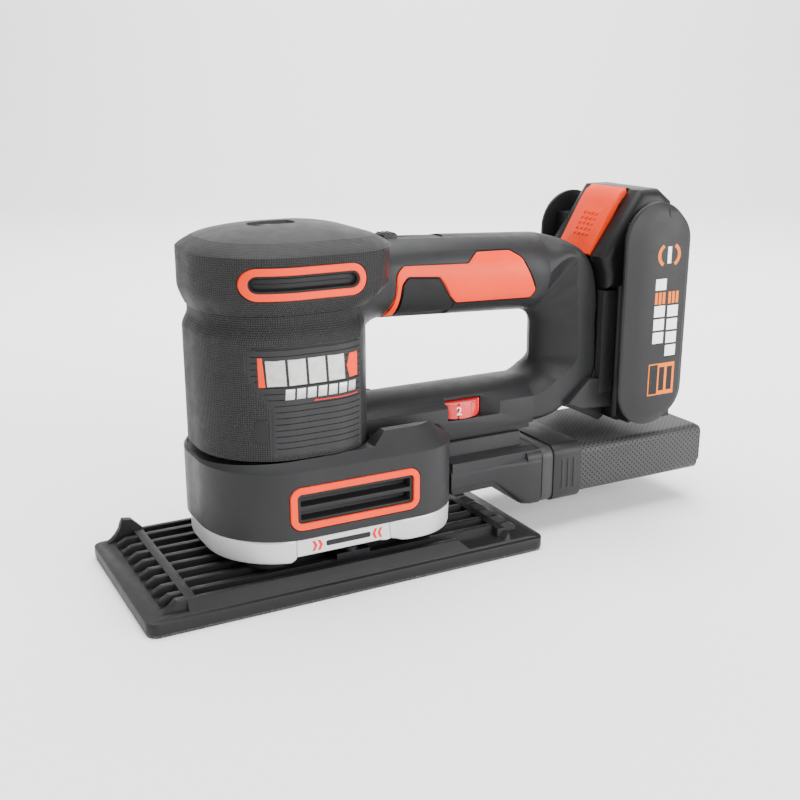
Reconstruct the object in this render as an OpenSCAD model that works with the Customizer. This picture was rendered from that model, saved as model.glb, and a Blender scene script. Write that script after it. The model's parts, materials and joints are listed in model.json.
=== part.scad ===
// Cordless multi-base sander: rectangular sanding plate, upright motor, D-handle,
// slide-on battery pack and rear dust box.
// Origin: centre of the plate's sole. +X to the rear (battery), -Y the left side, +Z up.

/* [Sanding plate] */
// Length of the plate
plate_l = 189.5; // [185:0.5:195]
// Width of the plate
plate_w = 93; // [92:0.5:95]
// Height of the flat top of the plate
plate_top = 12; // [11.5:0.1:12.1]
// Distance between neighbouring bars of the plate
bar_pitch = 9.3; // [9:0.1:9.4]
// Thickness of each bar and fin
bar_t = 2.8; // [2:0.1:3.2]

/* [Drive] */
// Place of the motor axis, ahead of the plate's centre
spindle_x = -20; // [-21:0.5:-19]
// Offset of the eccentric, half of the orbit's diameter
orbit_r = 1.25; // [1:0.05:1.5]
// Radius of the motor can
motor_r = 23; // [20:0.5:24]
// Running clearance on a radius
run_gap = 0.05; // [0.02:0.01:0.08]

/* [Housing] */
// Half width of the motor barrel
barrel_w = 38; // [37:0.5:39]
// Half width of the head above the barrel
head_w = 40; // [39:0.5:41]
// Half width of the shroud round the fan
shroud_w = 42.5; // [42:0.5:43]
// Radius of the handle tube
handle_r = 18.4; // [17.5:0.1:19]
// Half width of the handle's frame
frame_w = 18; // [17:0.5:18.4]
// Thickness of the housing walls
wall = 2.5; // [2:0.1:2.6]

/* [Moving parts] */
// Radius of the speed dial
dial_r = 13.5; // [12:0.5:14]
// Half width of the release button
button_w = 13; // [10:0.5:14]

/* [Battery] */
// Radius of one cell
cell_r = 9; // [8.5:0.1:9]
// Half width of the pack over its cheeks
pack_w = 37.5; // [36.5:0.5:38]

/* [Hidden] */
$fn = 64;
eps = 0.05;
charcoal = [0.20, 0.20, 0.21];
black = [0.11, 0.11, 0.12];
orange = [1.0, 0.42, 0.20];
silver = [0.78, 0.78, 0.79];

// Rounded plans: front x, rear x, half width, front corner radius, rear corner radius
barrel = [-57.75, 16.5, barrel_w, 34, 26];
head = [-59, 27, head_w, 36, 26];
shroud = [-59, 54.5, shroud_w, 36, 24];
ring = [-57.5, 55, 41.5, 34, 24];

// Heights of the housing's levels
ring_z = 19;
ring_foot_z = 17;
shroud_z = 27.5;
shoulder_z = 58;
barrel_z = 62;
waist_z = 112;
head_z = 125;
cap_z = 146;
dome_z = 155;
core_in = 4;
cavity_in = core_in + wall;
sleeve_end_x = 5.5;

// Handle axis: a straight tube that falls slightly to the rear
handle_p = [10, 128.7];
handle_fall = 2.5;
handle_end_x = 112.5;
bridge_end_x = 105.5;
// Lower bridge: flat sides and an arched top
bridge_z = 53.5;
arch_r = 24.25;
arch_z = 50.25;
// Rear bar of the frame, seen from above: flat sides and a blunt front
bar_outline = [
  [145, -frame_w], [129.7, -frame_w], [124, -15.4], [119, -11.6], [115.4, -7], [114, -2.4],
  [114, 2.4], [115.4, 7], [119, 11.6], [124, 15.4], [129.7, frame_w], [145, frame_w]
];
// Hollow inside that bar
bar_core_r = 17;
bar_core_x = 136.5;
frame_outline = [
  [bridge_end_x, bridge_z], [112, bridge_z], [121, 59], [138.75, 70], [142, 77],
  [142.75, 90], [141.25, 117], [137.5, 129], [130, 138.5], [121, 143],
  [100, 145.5], [100, 100], [108, 85], [102, 76], [bridge_end_x, 76]
];
screw_at = [[100, 124.8], [92, 63.5], [119.5, 68], [133, 84], [133, 108], [124, 131]];

// Orange inlay and dark grip insert on the handle's side, as x and z
inlay_outline = [
  [28.5, 112], [30.5, 121], [30.9, 131], [34.8, 134.4], [68, 133.2], [73.6, 137.6],
  [91.4, 137.2], [97.2, 133.6], [104.8, 118], [103, 114.4], [62.8, 115.6],
  [59, 118.9], [52.5, 128.6], [36.2, 129.9], [33.4, 126.6], [33.2, 112]
];
insert_outline = [
  [33.9, 112], [34.1, 126.3], [36.6, 129.1], [52, 127.9], [58.2, 118.5], [61.8, 112]
];

// Vents
upper_vent = [-46.5, 5.5, 129, 142];
lower_vent = [-31.25, 29.25, 32, 51];
vent_band = 3;
proud = 0.8;

// Lever of the clamp
lever_pivot = [14, -36];
lever_tip_x = -28.5;
lever_hub_r = 5;
lever_floor_z = 21.5;
lever_relief_r = 8.5;
pin_r = 2;

// Plate: raised middle, slots between its bars, screws of its carrier
plateau_l = 154;
slot_l = 145.6;
plate_base_z = 6.4;
slot_floor = 7.4;
edge_w = 2.2;
hook_t = 1.2;
carrier_at = [
  [-46, -bar_pitch / 2], [46, bar_pitch / 2], [0, -bar_pitch * 3.5], [0, bar_pitch * 3.5]
];

// Rubber posts between the ring and the plate
post_x = 34.5;
post_y = 22;
post_r = 11;

// Dial
dial_at = [66.5, -5.5];
dial_z = [61, 68.6];
// Window of the dial, seen from above, and its top
dial_window = [[57.8, -13.4], [57.8, -30], [86, -30], [86, -17.9], [76.5, -13.4]];
dial_window_z = 71.8;

// Dock and rails of the battery
dock_w = 22;
dock_top = 114.8;
rail_x = [149.5, 151.5, 153.8];
rail_w = [14, 18];
rail_gap = 0.3;
cell_x = 164.5;
cell_z0 = 61;
cell_pitch = 18.2;
cheek_r = 18.5;
cheek_y = 33;
cheek_x = 161.75;
cheek_z = [67.2, 138.9];
core_w = 24;
slope_at = [138.6, 131.2];
slope_angle = 60;
// Side view of the release button, which bends over the top of the battery
button_outline = [
  [137.9, 131.8], [151.8, 155.9], [154.6, 159.8], [158.4, 162.3],
  [159.5, 159.2], [156.6, 157.2], [154.5, 154.3], [140.6, 130.3]
];

// Dust duct, collar and filter box
duct_w = 28;
duct_end_x = 103;
collar_x = [103.2, 109.5, 125.5];
spigot_w = 25;
box_end_x = 205.5;
box_w = 30;

// A solid that follows a rounded plan, inset by d0 at z0 and by d1 at z1
module band(p, z0, z1, d0 = 0, d1 = 0) {
  flat_y = p[2] - p[3];
  rear_y = p[2] - p[4];
  for (s = [-1, 1]) {
    translate([p[0] + p[3], s * flat_y, z0])
      cylinder(h = z1 - z0, r1 = p[3] - d0, r2 = p[3] - d1);
    translate([p[1] - p[4], s * rear_y, z0])
      cylinder(h = z1 - z0, r1 = p[4] - d0, r2 = p[4] - d1);
  }
  along_x(p[0] + p[3], p[1] - p[4])
    polygon([[-p[2] + d0, z0], [p[2] - d0, z0], [p[2] - d1, z1], [-p[2] + d1, z1]]);
  along_y(flat_y)
    polygon([[p[0] + d0, z0], [p[0] + p[3], z0], [p[0] + p[3], z1], [p[0] + d1, z1]]);
  along_y(rear_y)
    polygon([[p[1] - p[4], z0], [p[1] - d0, z0], [p[1] - d1, z1], [p[1] - p[4], z1]]);
}

// A flat sketch of y and z, pulled from x0 to x1
module along_x(x0, x1) {
  translate([x0, 0, 0]) rotate([90, 0, 90]) linear_extrude(x1 - x0) children();
}

// A flat sketch of x and z, pulled from -w to w
module along_y(w) {
  translate([0, w, 0]) rotate([90, 0, 0]) linear_extrude(2 * w) children();
}

// A box from its lowest to its highest corner
module block(a, b) {
  translate(a) cube([b[0] - a[0], b[1] - a[1], b[2] - a[2]]);
}

// A flat rectangle with round corners, from its lowest to its highest corner
module round_rect(a, b, r) {
  translate([a[0] + r, a[1]]) square([b[0] - a[0] - 2 * r, b[1] - a[1]]);
  translate([a[0], a[1] + r]) square([b[0] - a[0], b[1] - a[1] - 2 * r]);
  for (x = [a[0] + r, b[0] - r], y = [a[1] + r, b[1] - r])
    translate([x, y]) circle(r);
}

// A tube section of y and z with round corners, from x0 to x1
module sleeve_box(x0, x1, w, z0, z1, r) {
  along_x(x0, x1) round_rect([-w, z0], [w, z1], r);
}

module ring_of(r_out, r_in, z0, z1) {
  translate([0, 0, z0]) difference() {
    cylinder(h = z1 - z0, r = r_out);
    translate([0, 0, -1]) cylinder(h = z1 - z0 + 2, r = r_in);
  }
}

// Keeps only the left (-1) or right (1) half
module half(side) {
  intersection() {
    children();
    translate([-200, side > 0 ? 0 : -100, -10]) cube([500, 100, 220]);
  }
}

// ---- housing shells ----

module handle_tube(r, x0, x1) {
  translate([handle_p[0], 0, handle_p[1]]) rotate([0, 90 + handle_fall, 0])
    translate([0, 0, x0 - handle_p[0]]) cylinder(h = x1 - x0, r = r);
}

// Cone that leads from the head into the handle, level with the handle's top
module handle_root(d) {
  intersection() {
    translate([handle_p[0], 0, handle_p[1]]) rotate([0, 90 + handle_fall, 0])
      cylinder(h = 21, r1 = 26 - d, r2 = handle_r - d);
    block([0, -40, 90], [40, 40, cap_z + 0.3 - d]);
  }
}

module bridge(d, x0, x1) {
  intersection() {
    translate([x0, 0, arch_z]) rotate([0, 90, 0]) cylinder(h = x1 - x0, r = arch_r - d);
    block([x0 - 1, -frame_w + d, bridge_z + d], [x1 + 1, frame_w - d, 80]);
  }
}

module barrel_core(d) {
  band(barrel, barrel_z + 0.05, head_z, core_in + d, core_in + d);
  band(head, head_z - 1, cap_z - 2, core_in + 1 + d, core_in + 1 + d);
}

module screw_bosses(list) {
  for (p = list) translate([p[0], 17.5, p[1]]) rotate([90, 0, 0]) cylinder(h = 35, r = 3.6);
}

module screw_holes(list) {
  for (p = list) {
    translate([p[0], 30, p[1]]) rotate([90, 0, 0]) cylinder(h = 39, r = 1.6);
    translate([p[0], 30, p[1]]) rotate([90, 0, 0]) cylinder(h = 16.5, r = 3.1);
  }
}

// Bare rear of the barrel, which the soft sleeve leaves open
module barrel_back(d) {
  intersection() {
    union() {
      band(barrel, barrel_z + 0.05, waist_z, 0.6 + d, 0.6 + d);
      band(barrel, waist_z, waist_z + 8, 0.6 + d, 2.8 + d);
      band(barrel, waist_z + 8, head_z, 2.8 + d, 2.8 + d);
    }
    block([sleeve_end_x - d, -60, 60], [60, 60, 130]);
  }
}

module front_housing() {
  difference() {
    union() {
      barrel_core(0);
      barrel_back(0);
      handle_root(0);
      handle_tube(handle_r, 10, handle_end_x);
      bridge(0, 8, bridge_end_x);
      block([55, -15, bridge_z - 3.4], [bridge_end_x, 15, bridge_z + 1]);
    }
    difference() {
      union() {
        translate([0, 0, -1]) barrel_core(wall);
        block([-40, -24, cap_z - 12], [0, 24, cap_z]);
        handle_tube(handle_r - wall, 0, handle_end_x + 5);
        bridge(wall, 5, bridge_end_x + 5);
      }
      screw_bosses([screw_at[0], screw_at[1]]);
      motor_ribs();
    }
    translate([dial_at[0], dial_at[1], dial_z[0] - 0.6])
      cylinder(h = dial_z[1] - dial_z[0] + 1.2, r = dial_r + 0.7);
    translate([0, 0, dial_z[0] - 0.6]) linear_extrude(dial_window_z - dial_z[0] + 0.6)
      polygon(dial_window);
    block([30.4, -4.2, 140], [48, 4.2, 152]);
    screw_holes([screw_at[0], screw_at[1]]);
  }
}

// Ribs that hold the motor can
module motor_ribs() {
  for (z = [70, 116]) difference() {
    band(barrel, z, z + 3, core_in + 1, core_in + 1);
    translate([spindle_x, 0, z - 1]) cylinder(h = 5, r = motor_r + 0.02);
  }
}

module housing_left() {
  color(charcoal) half(-1) front_housing();
}

module housing_right() {
  color(charcoal) half(1) front_housing();
}

module frame_solid() {
  intersection() {
    along_y(frame_w) polygon(frame_outline);
    union() {
      handle_tube(handle_r, handle_end_x, 142);
      bridge(0, bridge_end_x, 125);
      translate([0, 0, 62]) linear_extrude(62) polygon(bar_outline);
      translate([112, 0, arch_z - 3.5]) rotate([0, 50, 0]) cylinder(h = 44, r = arch_r - 1);
    }
  }
}

// Inside of the frame: the same tubes, one wall smaller
module frame_hollow() {
  intersection() {
    along_y(frame_w - wall)
      polygon([[102, 56], [112, 56], [119.8, 61.3], [137, 72.2], [139.5, 78], [140.2, 90],
               [138.7, 116], [135, 127.8], [128.6, 136], [120, 140.4], [102, 143]]);
    union() {
      handle_tube(handle_r - wall, handle_end_x - 2, 138);
      bridge(wall, bridge_end_x - 2, 122);
      translate([bar_core_x, 0, 60]) cylinder(h = 61, r = bar_core_r);
      translate([112, 0, arch_z - 3.5]) rotate([0, 50, 0]) cylinder(h = 40, r = arch_r - 1 - wall);
    }
  }
}

module rear_frame() {
  rear_screws = [screw_at[2], screw_at[3], screw_at[4], screw_at[5]];
  difference() {
    frame_solid();
    // everything ahead of the two seams
    handle_tube(30, 80, handle_end_x + 0.02);
    block([90, -30, 40], [bridge_end_x + 0.02, 30, 90]);
    difference() {
      frame_hollow();
      screw_bosses(rear_screws);
    }
    screw_holes(rear_screws);
  }
}

module rear_frame_left() {
  color(charcoal) half(-1) rear_frame();
}

module rear_frame_right() {
  color(charcoal) half(1) rear_frame();
}

module sleeve_outer() {
  band(barrel, barrel_z + 0.05, waist_z, 0, 0);
  band(barrel, waist_z, waist_z + 8, 0, 2.2);
  band(barrel, waist_z + 8, head_z - 0.5, 2.2, 2.2);
  band(head, head_z - 1.5, head_z + 2, 3.5, 0);
  band(head, head_z + 2, cap_z - 2.5, 0, 0);
  band(head, cap_z - 2.5, cap_z, 0, 1);
}

module grip_sleeve() {
  color(charcoal) difference() {
    sleeve_outer();
    band(barrel, barrel_z - 1, head_z, core_in - 0.02, core_in - 0.02);
    band(head, head_z - 1.02, cap_z + 1, core_in + 0.98, core_in + 0.98);
    handle_root(-0.02);
    handle_tube(handle_r + 0.02, 10, 70);
    block([sleeve_end_x - 0.02, -60, 40], [60, 60, head_z - 1.5]);
    for (s = [-1, 1]) vent_slot(s, core_in - 1);
  }
}

// Inner slot of the upper vent
module vent_slot(side, depth) {
  v = upper_vent;
  translate([0, side * (head_w + 5 - (5 + depth) / 2), 0])
    along_y((5 + depth) / 2)
      round_rect([v[0] + vent_band, v[2] + vent_band], [v[1] - vent_band, v[3] - vent_band], 3.4);
}

module upper_vent_frame(side) {
  v = upper_vent;
  color(orange) intersection() {
    difference() {
      band(head, v[2] - 1, v[3] + 1, -proud, -proud);
      band(head, v[2] - 2, v[3] + 2, -0.01, -0.01);
    }
    translate([0, side * 30, 0]) along_y(15) difference() {
      round_rect([v[0], v[2]], [v[1], v[3]], 6.4);
      round_rect([v[0] + vent_band, v[2] + vent_band], [v[1] - vent_band, v[3] - vent_band], 3.4);
    }
  }
}

module upper_vent_frame_left() {
  upper_vent_frame(-1);
}

module upper_vent_frame_right() {
  upper_vent_frame(1);
}

module top_cap() {
  color(charcoal) difference() {
    union() {
      band(head, cap_z, cap_z + 2, 1, 3);
      band(head, cap_z + 2, cap_z + 6, 3, 9);
      band(head, cap_z + 6, dome_z, 9, 24);
      band(head, cap_z - 1.9, cap_z, core_in + 3.6, core_in + 3.6);
    }
    band(head, cap_z - 3, cap_z + 1, core_in + 6, core_in + 6);
    band(head, cap_z + 1, cap_z + 4, core_in + 6, core_in + 11);
    // clear of the handle and its root
    handle_root(-0.02);
    handle_tube(handle_r + 0.02, 8, 40);
    // shallow recess in the crown
    block([-32, -7, dome_z - 1.6], [-8, 7, dome_z + 1]);
  }
}

// ---- fan shroud, ring and clamp ----

module base_shroud() {
  hump = [[17, 61], [24, 69.5], [43, 69.5], [52.5, 61]];
  color(charcoal) difference() {
    union() {
      band(shroud, shroud_z, shoulder_z, 0, 0);
      band(shroud, shoulder_z, barrel_z, 0, 4.5);
      along_y(34) polygon(hump);
    }
    band(shroud, shroud_z - 1, barrel_z - wall - 2, wall, wall);
    band(barrel, barrel_z - 6, barrel_z + 20, cavity_in, cavity_in);
    band(barrel, barrel_z, barrel_z + 20, -eps, -eps);
    block([4, -frame_w - eps, bridge_z - eps], [60, frame_w + eps, 75]);
    for (s = [-1, 1]) translate([0, s * shroud_w, 0]) along_y(6) lower_window(0);
    sleeve_box(50, 60, duct_w - 2 + eps, 30 - eps, 42 + eps, 2);
  }
}

module lower_window(d) {
  v = lower_vent;
  round_rect([v[0] + vent_band + d, v[2] + vent_band + d],
             [v[1] - vent_band - d, v[3] - vent_band - d], 2.5);
}

module lower_vent_frame(side) {
  v = lower_vent;
  color(orange) intersection() {
    difference() {
      band(shroud, v[2] - 1, v[3] + 1, -proud, -proud);
      band(shroud, v[2] - 2, v[3] + 2, -0.01, -0.01);
    }
    translate([0, side * 37, 0]) along_y(10) difference() {
      round_rect([v[0], v[2]], [v[1], v[3]], 5);
      lower_window(0);
    }
  }
}

module lower_vent_frame_left() {
  lower_vent_frame(-1);
}

module lower_vent_frame_right() {
  lower_vent_frame(1);
}

// Dark inserts with two long slots, one on each side
module lower_louvres() {
  v = lower_vent;
  color(black) for (s = [-1, 1]) translate([0, s * (shroud_w - 1.4), 0]) along_y(1)
    difference() {
      lower_window(0.05);
      for (z = [36.4, 42.4])
        translate([v[0] + vent_band + 1.2, z]) square([v[1] - v[0] - 2 * vent_band - 2.4, 4]);
    }
}

module clamp_ring() {
  color(silver) difference() {
    union() {
      band(ring, ring_z, shroud_z - 0.05, 0.6, 0);
      // deeper feet at the front and the rear
      difference() {
        band(ring, ring_foot_z, ring_z, 2.6, 0.6);
        block([-29, -60, ring_foot_z - 1], [19, 60, ring_z]);
      }
    }
    band(ring, ring_foot_z - 1, ring_z + 0.5, 4, 4);
    band(ring, ring_z + 2.5, shroud_z + 1, 3, 3);
    translate([spindle_x, 0, 10]) cylinder(h = 20, r = 17.5);
    // gap for the lever: full height at its arm, above the floor at its hub
    difference() {
      block([lever_tip_x - 0.4, -50, 10], [lever_pivot[0], lever_pivot[1] - 1.2, 40]);
      at_lever(10) cylinder(h = lever_floor_z - 10, r = lever_relief_r - 0.3);
    }
    at_lever(lever_floor_z) cylinder(h = 10, r = lever_hub_r + 0.6);
    block([lever_pivot[0] - 1, -50, lever_floor_z], [lever_pivot[0] + 6.6, lever_pivot[1], 40]);
    at_lever(10) cylinder(h = 20, r = pin_r + 0.02);
  }
}

module at_lever(z) {
  translate([lever_pivot[0], lever_pivot[1], z]) children();
}

module lever_pin() {
  color(silver) at_lever(ring_z + 0.6) cylinder(h = shroud_z - ring_z - 0.7, r = pin_r);
}

module clamp_lever() {
  top = shroud_z - 0.4;
  color(silver) difference() {
    union() {
      block([lever_tip_x, -41.5, ring_z], [lever_pivot[0], lever_pivot[1] - 1.8, top]);
      at_lever(ring_z) cylinder(h = top - ring_z, r = lever_hub_r);
    }
    at_lever(ring_z - 1) cylinder(h = 12, r = pin_r + run_gap);
    at_lever(ring_z - 1) cylinder(h = lever_floor_z + 1.1 - ring_z, r = lever_relief_r);
    // scooped finger pull at the tip
    translate([lever_tip_x, -36.5, ring_z - 1]) cylinder(h = 12, r = 3.2);
  }
}

module lock_slider() {
  color(silver) difference() {
    block([-38, -34, 22], [2.5, -30.2, 26]);
    for (x = [-30, -12]) translate([x, -40, 23.2]) cube([8, 20, 1.6]);
  }
}

module rubber_posts() {
  color(black) for (x = [-post_x, post_x], y = [-post_y, post_y])
    translate([x, y, plate_top + 0.15]) {
      cylinder(h = 1.4, r1 = post_r - 1, r2 = post_r);
      translate([0, 0, 1.4]) cylinder(h = ring_z + 0.45 - plate_top - 1.55, r = post_r);
    }
}

module fan_deck() {
  color(black) difference() {
    union() {
      intersection() {
        band(shroud, 52.9, 55.9, wall + 0.02, wall + 0.02);
        block([-60, -60, 50], [3.5, 60, 60]);
      }
      translate([spindle_x, 0, 51]) cylinder(h = 8, r = 13.5);
    }
    translate([spindle_x, 0, 50]) cylinder(h = 10, r = 11.02);
    for (a = [0:45:315]) rotate_about_spindle(a) translate([22, 0, 52]) cylinder(h = 6, r = 4);
  }
}

module rotate_about_spindle(a) {
  translate([spindle_x, 0, 0]) rotate([0, 0, a]) children();
}

// ---- motor ----

module motor_can() {
  color(silver) translate([spindle_x, 0, 0]) difference() {
    translate([0, 0, 64]) cylinder(h = 60, r = motor_r);
    translate([0, 0, 66]) cylinder(h = 60, r = motor_r - 1.8);
    translate([0, 0, 60]) cylinder(h = 10, r = 6);
    for (a = [0:60:300]) rotate([0, 0, a]) translate([14, 0, 60]) cylinder(h = 10, r = 3);
  }
}

module field_magnets() {
  color([0.3, 0.3, 0.32]) translate([spindle_x, 0, 0]) difference() {
    ring_of(motor_r - 1.85, 17.6, 72, 108);
    block([-30, -5, 60], [30, 5, 120]);
  }
}

module motor_end_cap() {
  color(black) translate([spindle_x, 0, 0]) difference() {
    union() {
      ring_of(motor_r - 1.85, 8.02, 119.5, 124);
      ring_of(10.5, 8.02, 118, 126);
    }
    for (s = [-1, 1]) block([-4, s > 0 ? 12 : -18, 118], [4, s > 0 ? 18 : -12, 130]);
  }
}

module upper_bearing() {
  color(silver) translate([spindle_x, 0, 0]) ring_of(8, 3 + run_gap, 119, 125);
}

module lower_bearing() {
  color(silver) translate([spindle_x, 0, 0]) ring_of(11, 4 + run_gap, 51.5, 58.5);
}

module brush_holders() {
  color([0.75, 0.6, 0.3]) translate([spindle_x, 0, 0]) for (s = [-1, 1]) mirror([0, s < 0 ? 1 : 0, 0])
    difference() {
      block([-4, 8.5, 109.5], [4, 19, 117.5]);
      block([-2.55, 8, 110.95], [2.55, 18, 116.05]);
    }
}

module carbon_brushes() {
  color([0.15, 0.15, 0.15]) translate([spindle_x, 0, 0]) for (s = [-1, 1]) mirror([0, s < 0 ? 1 : 0, 0])
    block([-2.5, 7.3, 111], [2.5, 16, 116]);
}

module motor_shaft() {
  color(silver) translate([spindle_x, 0, 0]) {
    translate([0, 0, 28]) cylinder(h = 34, r = 4);
    translate([0, 0, 62]) cylinder(h = 64, r = 3);
  }
}

module armature() {
  color([0.72, 0.42, 0.2]) translate([spindle_x, 0, 0]) difference() {
    union() {
      ring_of(17, 3.02, 76, 102);
      ring_of(14, 3.02, 71, 107);
    }
    for (a = [0:45:315]) rotate([0, 0, a]) block([14.2, -0.8, 75], [19, 0.8, 103]);
  }
}

module commutator() {
  color([0.8, 0.5, 0.25]) translate([spindle_x, 0, 0]) ring_of(7, 3.02, 108.5, 118.5);
}

module extraction_fan() {
  color([0.25, 0.25, 0.26]) translate([spindle_x, 0, 0]) {
    ring_of(9, 4.02, 37, 49.5);
    ring_of(29, 8.9, 37, 39);
    for (i = [0:10]) rotate([0, 0, i * 360 / 11])
      translate([8.9, 0, 39]) rotate([0, 0, 18]) translate([0, -0.8, -0.1]) cube([19, 1.6, 9.5]);
  }
}

module eccentric_hub() {
  color(silver) translate([spindle_x, 0, 0]) difference() {
    union() {
      translate([0, 0, 26]) cylinder(h = 9, r = 13);
      translate([orbit_r, 0, 16.8]) cylinder(h = 9.3, r = 4);
    }
    translate([0, 0, 27.95]) cylinder(h = 10, r = 4.02);
  }
}

module counterweight() {
  color([0.5, 0.5, 0.52]) translate([spindle_x, 0, 0]) difference() {
    ring_of(25, 13.02, 27, 34);
    block([-8, -40, 20], [40, 40, 40]);
  }
}

// ---- plate that orbits ----

module drive_bearing() {
  color(silver) translate([spindle_x + orbit_r, 0, 0]) ring_of(11, 4 + run_gap, 17, 24);
}

module plate_carrier() {
  color([0.6, 0.6, 0.62]) difference() {
    union() {
      translate([spindle_x + orbit_r, 0, plate_top]) cylinder(h = 12.4, r = 13);
      block([-52, -8.5, plate_top], [52, 8.5, plate_top + 3]);
      block([-8, -36, plate_top], [8, 36, plate_top + 3]);
    }
    translate([spindle_x + orbit_r, 0, 16.95]) cylinder(h = 10, r = 11.02);
    translate([spindle_x + orbit_r, 0, 15.5]) cylinder(h = 3, r = 8);
    for (p = carrier_at) translate([p[0], p[1], plate_top - 1]) cylinder(h = 6, r = 2.2);
  }
}

module carrier_screws() {
  color(silver) for (p = carrier_at) translate([p[0], p[1], 0]) {
    translate([0, 0, 8]) cylinder(h = 7, r = 1);
    translate([0, 0, plate_top + 3]) cylinder(h = 1.8, r = 3.4);
  }
}

module base_plate() {
  hx = plate_l / 2;
  hy = plate_w / 2;
  px = plateau_l / 2;
  bar_end = slot_l / 2 - 0.8;
  rim_top = plate_top - 0.2;
  color(black) difference() {
    union() {
      intersection() {
        along_x(-hx, hx) polygon([[-hy + edge_w, plate_base_z], [hy - edge_w, plate_base_z],
                                  [hy - 5.1, plate_top], [-hy + 5.1, plate_top]]);
        along_y(hy) polygon([[-hx + edge_w, plate_base_z], [-hx + 8.5, slot_floor], [-px, slot_floor],
                             [-px, rim_top], [-bar_end, rim_top], [-bar_end, plate_top],
                             [bar_end, plate_top], [bar_end, rim_top], [px, rim_top], [px, slot_floor],
                             [hx - 8.5, slot_floor], [hx - edge_w, plate_base_z]]);
      }
      for (turn = [0, 180]) rotate([0, 0, turn])
        for (k = [-3.5:1:3.5]) plate_fin(k * bar_pitch);
      corner_horn();
      rail_ramp();
    }
    for (k = [-4:1:4]) plate_slot(k);
    rail_notch();
    for (p = carrier_at) translate([p[0], p[1], 7.9]) cylinder(h = 6, r = 1.02);
  }
}

module plate_slot(k) {
  edge = abs(k) == 4;
  w = edge ? 5 : bar_pitch - bar_t;
  y = edge ? sign(k) * 36.6 : k * bar_pitch;
  block([-slot_l / 2, y - w / 2, slot_floor], [slot_l / 2, y + w / 2, plate_top + 5]);
}

// Thin fin ahead of the cross bar
module plate_fin(y) {
  x = -plate_l / 2;
  translate([0, y, 0]) along_y(bar_t / 2)
    polygon([[x + 8.5, slot_floor - 0.2], [x + 8.5, 9.2], [x + 12.5, plate_top - 0.4],
             [x + 19, plate_top - 0.4], [x + 19, slot_floor - 0.2]]);
}

// Curved horn at one corner, which ends the row of fins
// Curved horn at the front end of the right rail
module corner_horn() {
  translate([0, 41.4, 0]) along_y(1.9)
    polygon([[-89, 7], [-87, 8.3], [-85, 10.2], [-83.2, 13], [-82.2, 16], [-81.3, 17.6],
             [-77.2, 17], [-71.7, 11.3], [-71.7, 7]]);
}
// Scooped front end of the left rail
module rail_ramp() {
  translate([0, -39.2, 0]) along_y(2.1)
    polygon([[-88.4, 7], [-86.2, 7.8], [-84, 9.2], [-82.2, 10.8], [-81, 11.7], [-76, 11.7], [-76, 7]]);
}
// Opening in the left rail near the rear
module rail_notch() {
  translate([0, -43.4, 0]) along_y(4.4)
    polygon([[48.6, 13], [54.8, slot_floor], [73.5, slot_floor], [79.4, 13]]);
}

module sole_pad() {
  hx = plate_l / 2;
  hy = plate_w / 2;
  color(black) translate([0, 0, hook_t]) linear_extrude(plate_base_z - hook_t)
    round_rect([-hx, -hy], [hx, hy], 5);
}

module hook_face() {
  hx = plate_l / 2 - 0.5;
  hy = plate_w / 2 - 0.5;
  color([0.3, 0.3, 0.3]) linear_extrude(hook_t) round_rect([-hx, -hy], [hx, hy], 4.5);
}

// ---- handle trim, switch and dial ----

module on_handle(side, z_out, outline) {
  intersection() {
    difference() {
      handle_tube(handle_r + z_out, 24, handle_end_x);
      handle_tube(handle_r + 0.01, 20, handle_end_x + 2);
      handle_root(-0.02);
    }
    translate([0, side * 16, 0]) along_y(12) polygon(outline);
  }
}

module handle_inlay_left() {
  color(orange) on_handle(-1, 0.8, inlay_outline);
}

module handle_inlay_right() {
  color(orange) on_handle(1, 0.8, inlay_outline);
}

module grip_inserts() {
  color(black) for (s = [-1, 1]) on_handle(s, 0.6, insert_outline);
}

module power_switch() {
  color(black) {
    block([31.6, -4, 140.6], [38.6, 4, 146.9]);
    block([31.6, -5.5, 139], [38.6, 5.5, 140.8]);
    for (x = [32.4, 34.5, 36.6]) block([x, -4, 146.8], [x + 1.1, 4, 147.4]);
  }
}

module switch_body() {
  color(black) {
    block([27, -7, 125], [51, 7, 138.8]);
    for (x = [31, 39, 47]) block([x - 1, -3, 121], [x + 1, 3, 125.1]);
  }
}

module speed_dial() {
  color([0.9, 0.1, 0.12]) translate([dial_at[0], dial_at[1], 0]) difference() {
    ring_of(dial_r, 3 + run_gap, dial_z[0], dial_z[1]);
    for (i = [0:11]) rotate([0, 0, i * 30 + 15])
      translate([dial_r, 0, dial_z[0] - 1]) cylinder(h = 12, r = 0.7);
  }
}

module dial_potentiometer() {
  color(silver) translate([dial_at[0], dial_at[1] + 2, 0]) difference() {
    union() {
      block([-6.5, -6, 57.8], [6.5, 8, 60.4]);
      translate([0, -2, 60]) cylinder(h = 8.2, r = 3);
    }
    block([2, -3, 64], [5, 3, 70]);
  }
}

module speed_board() {
  color([0.1, 0.4, 0.2]) {
    block([50, -14, 56.1], [98, 14, 57.7]);
    for (x = [54, 83]) block([x - 3, -6, 57.6], [x + 3, 6, 60]);
  }
}

// Two wires that run above the screw bosses of the handle
module wiring_harness() {
  color([0.7, 0.1, 0.1]) for (y = [-8, 8]) translate([52, y, 134.6])
    rotate([0, 90 + handle_fall, 0]) cylinder(h = 66, r = 1.2);
}

module shell_screws() {
  color(silver) for (p = screw_at) translate([p[0], 13.6, p[1]]) rotate([90, 0, 0]) {
    translate([0, 0, -1]) cylinder(h = 23.4, r = 1.55);
    difference() {
      translate([0, 0, -2]) cylinder(h = 2, r = 2.9);
      translate([0, 0, -3]) cylinder(h = 2, r = 1.3);
    }
  }
}

// ---- battery and dock ----

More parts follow.
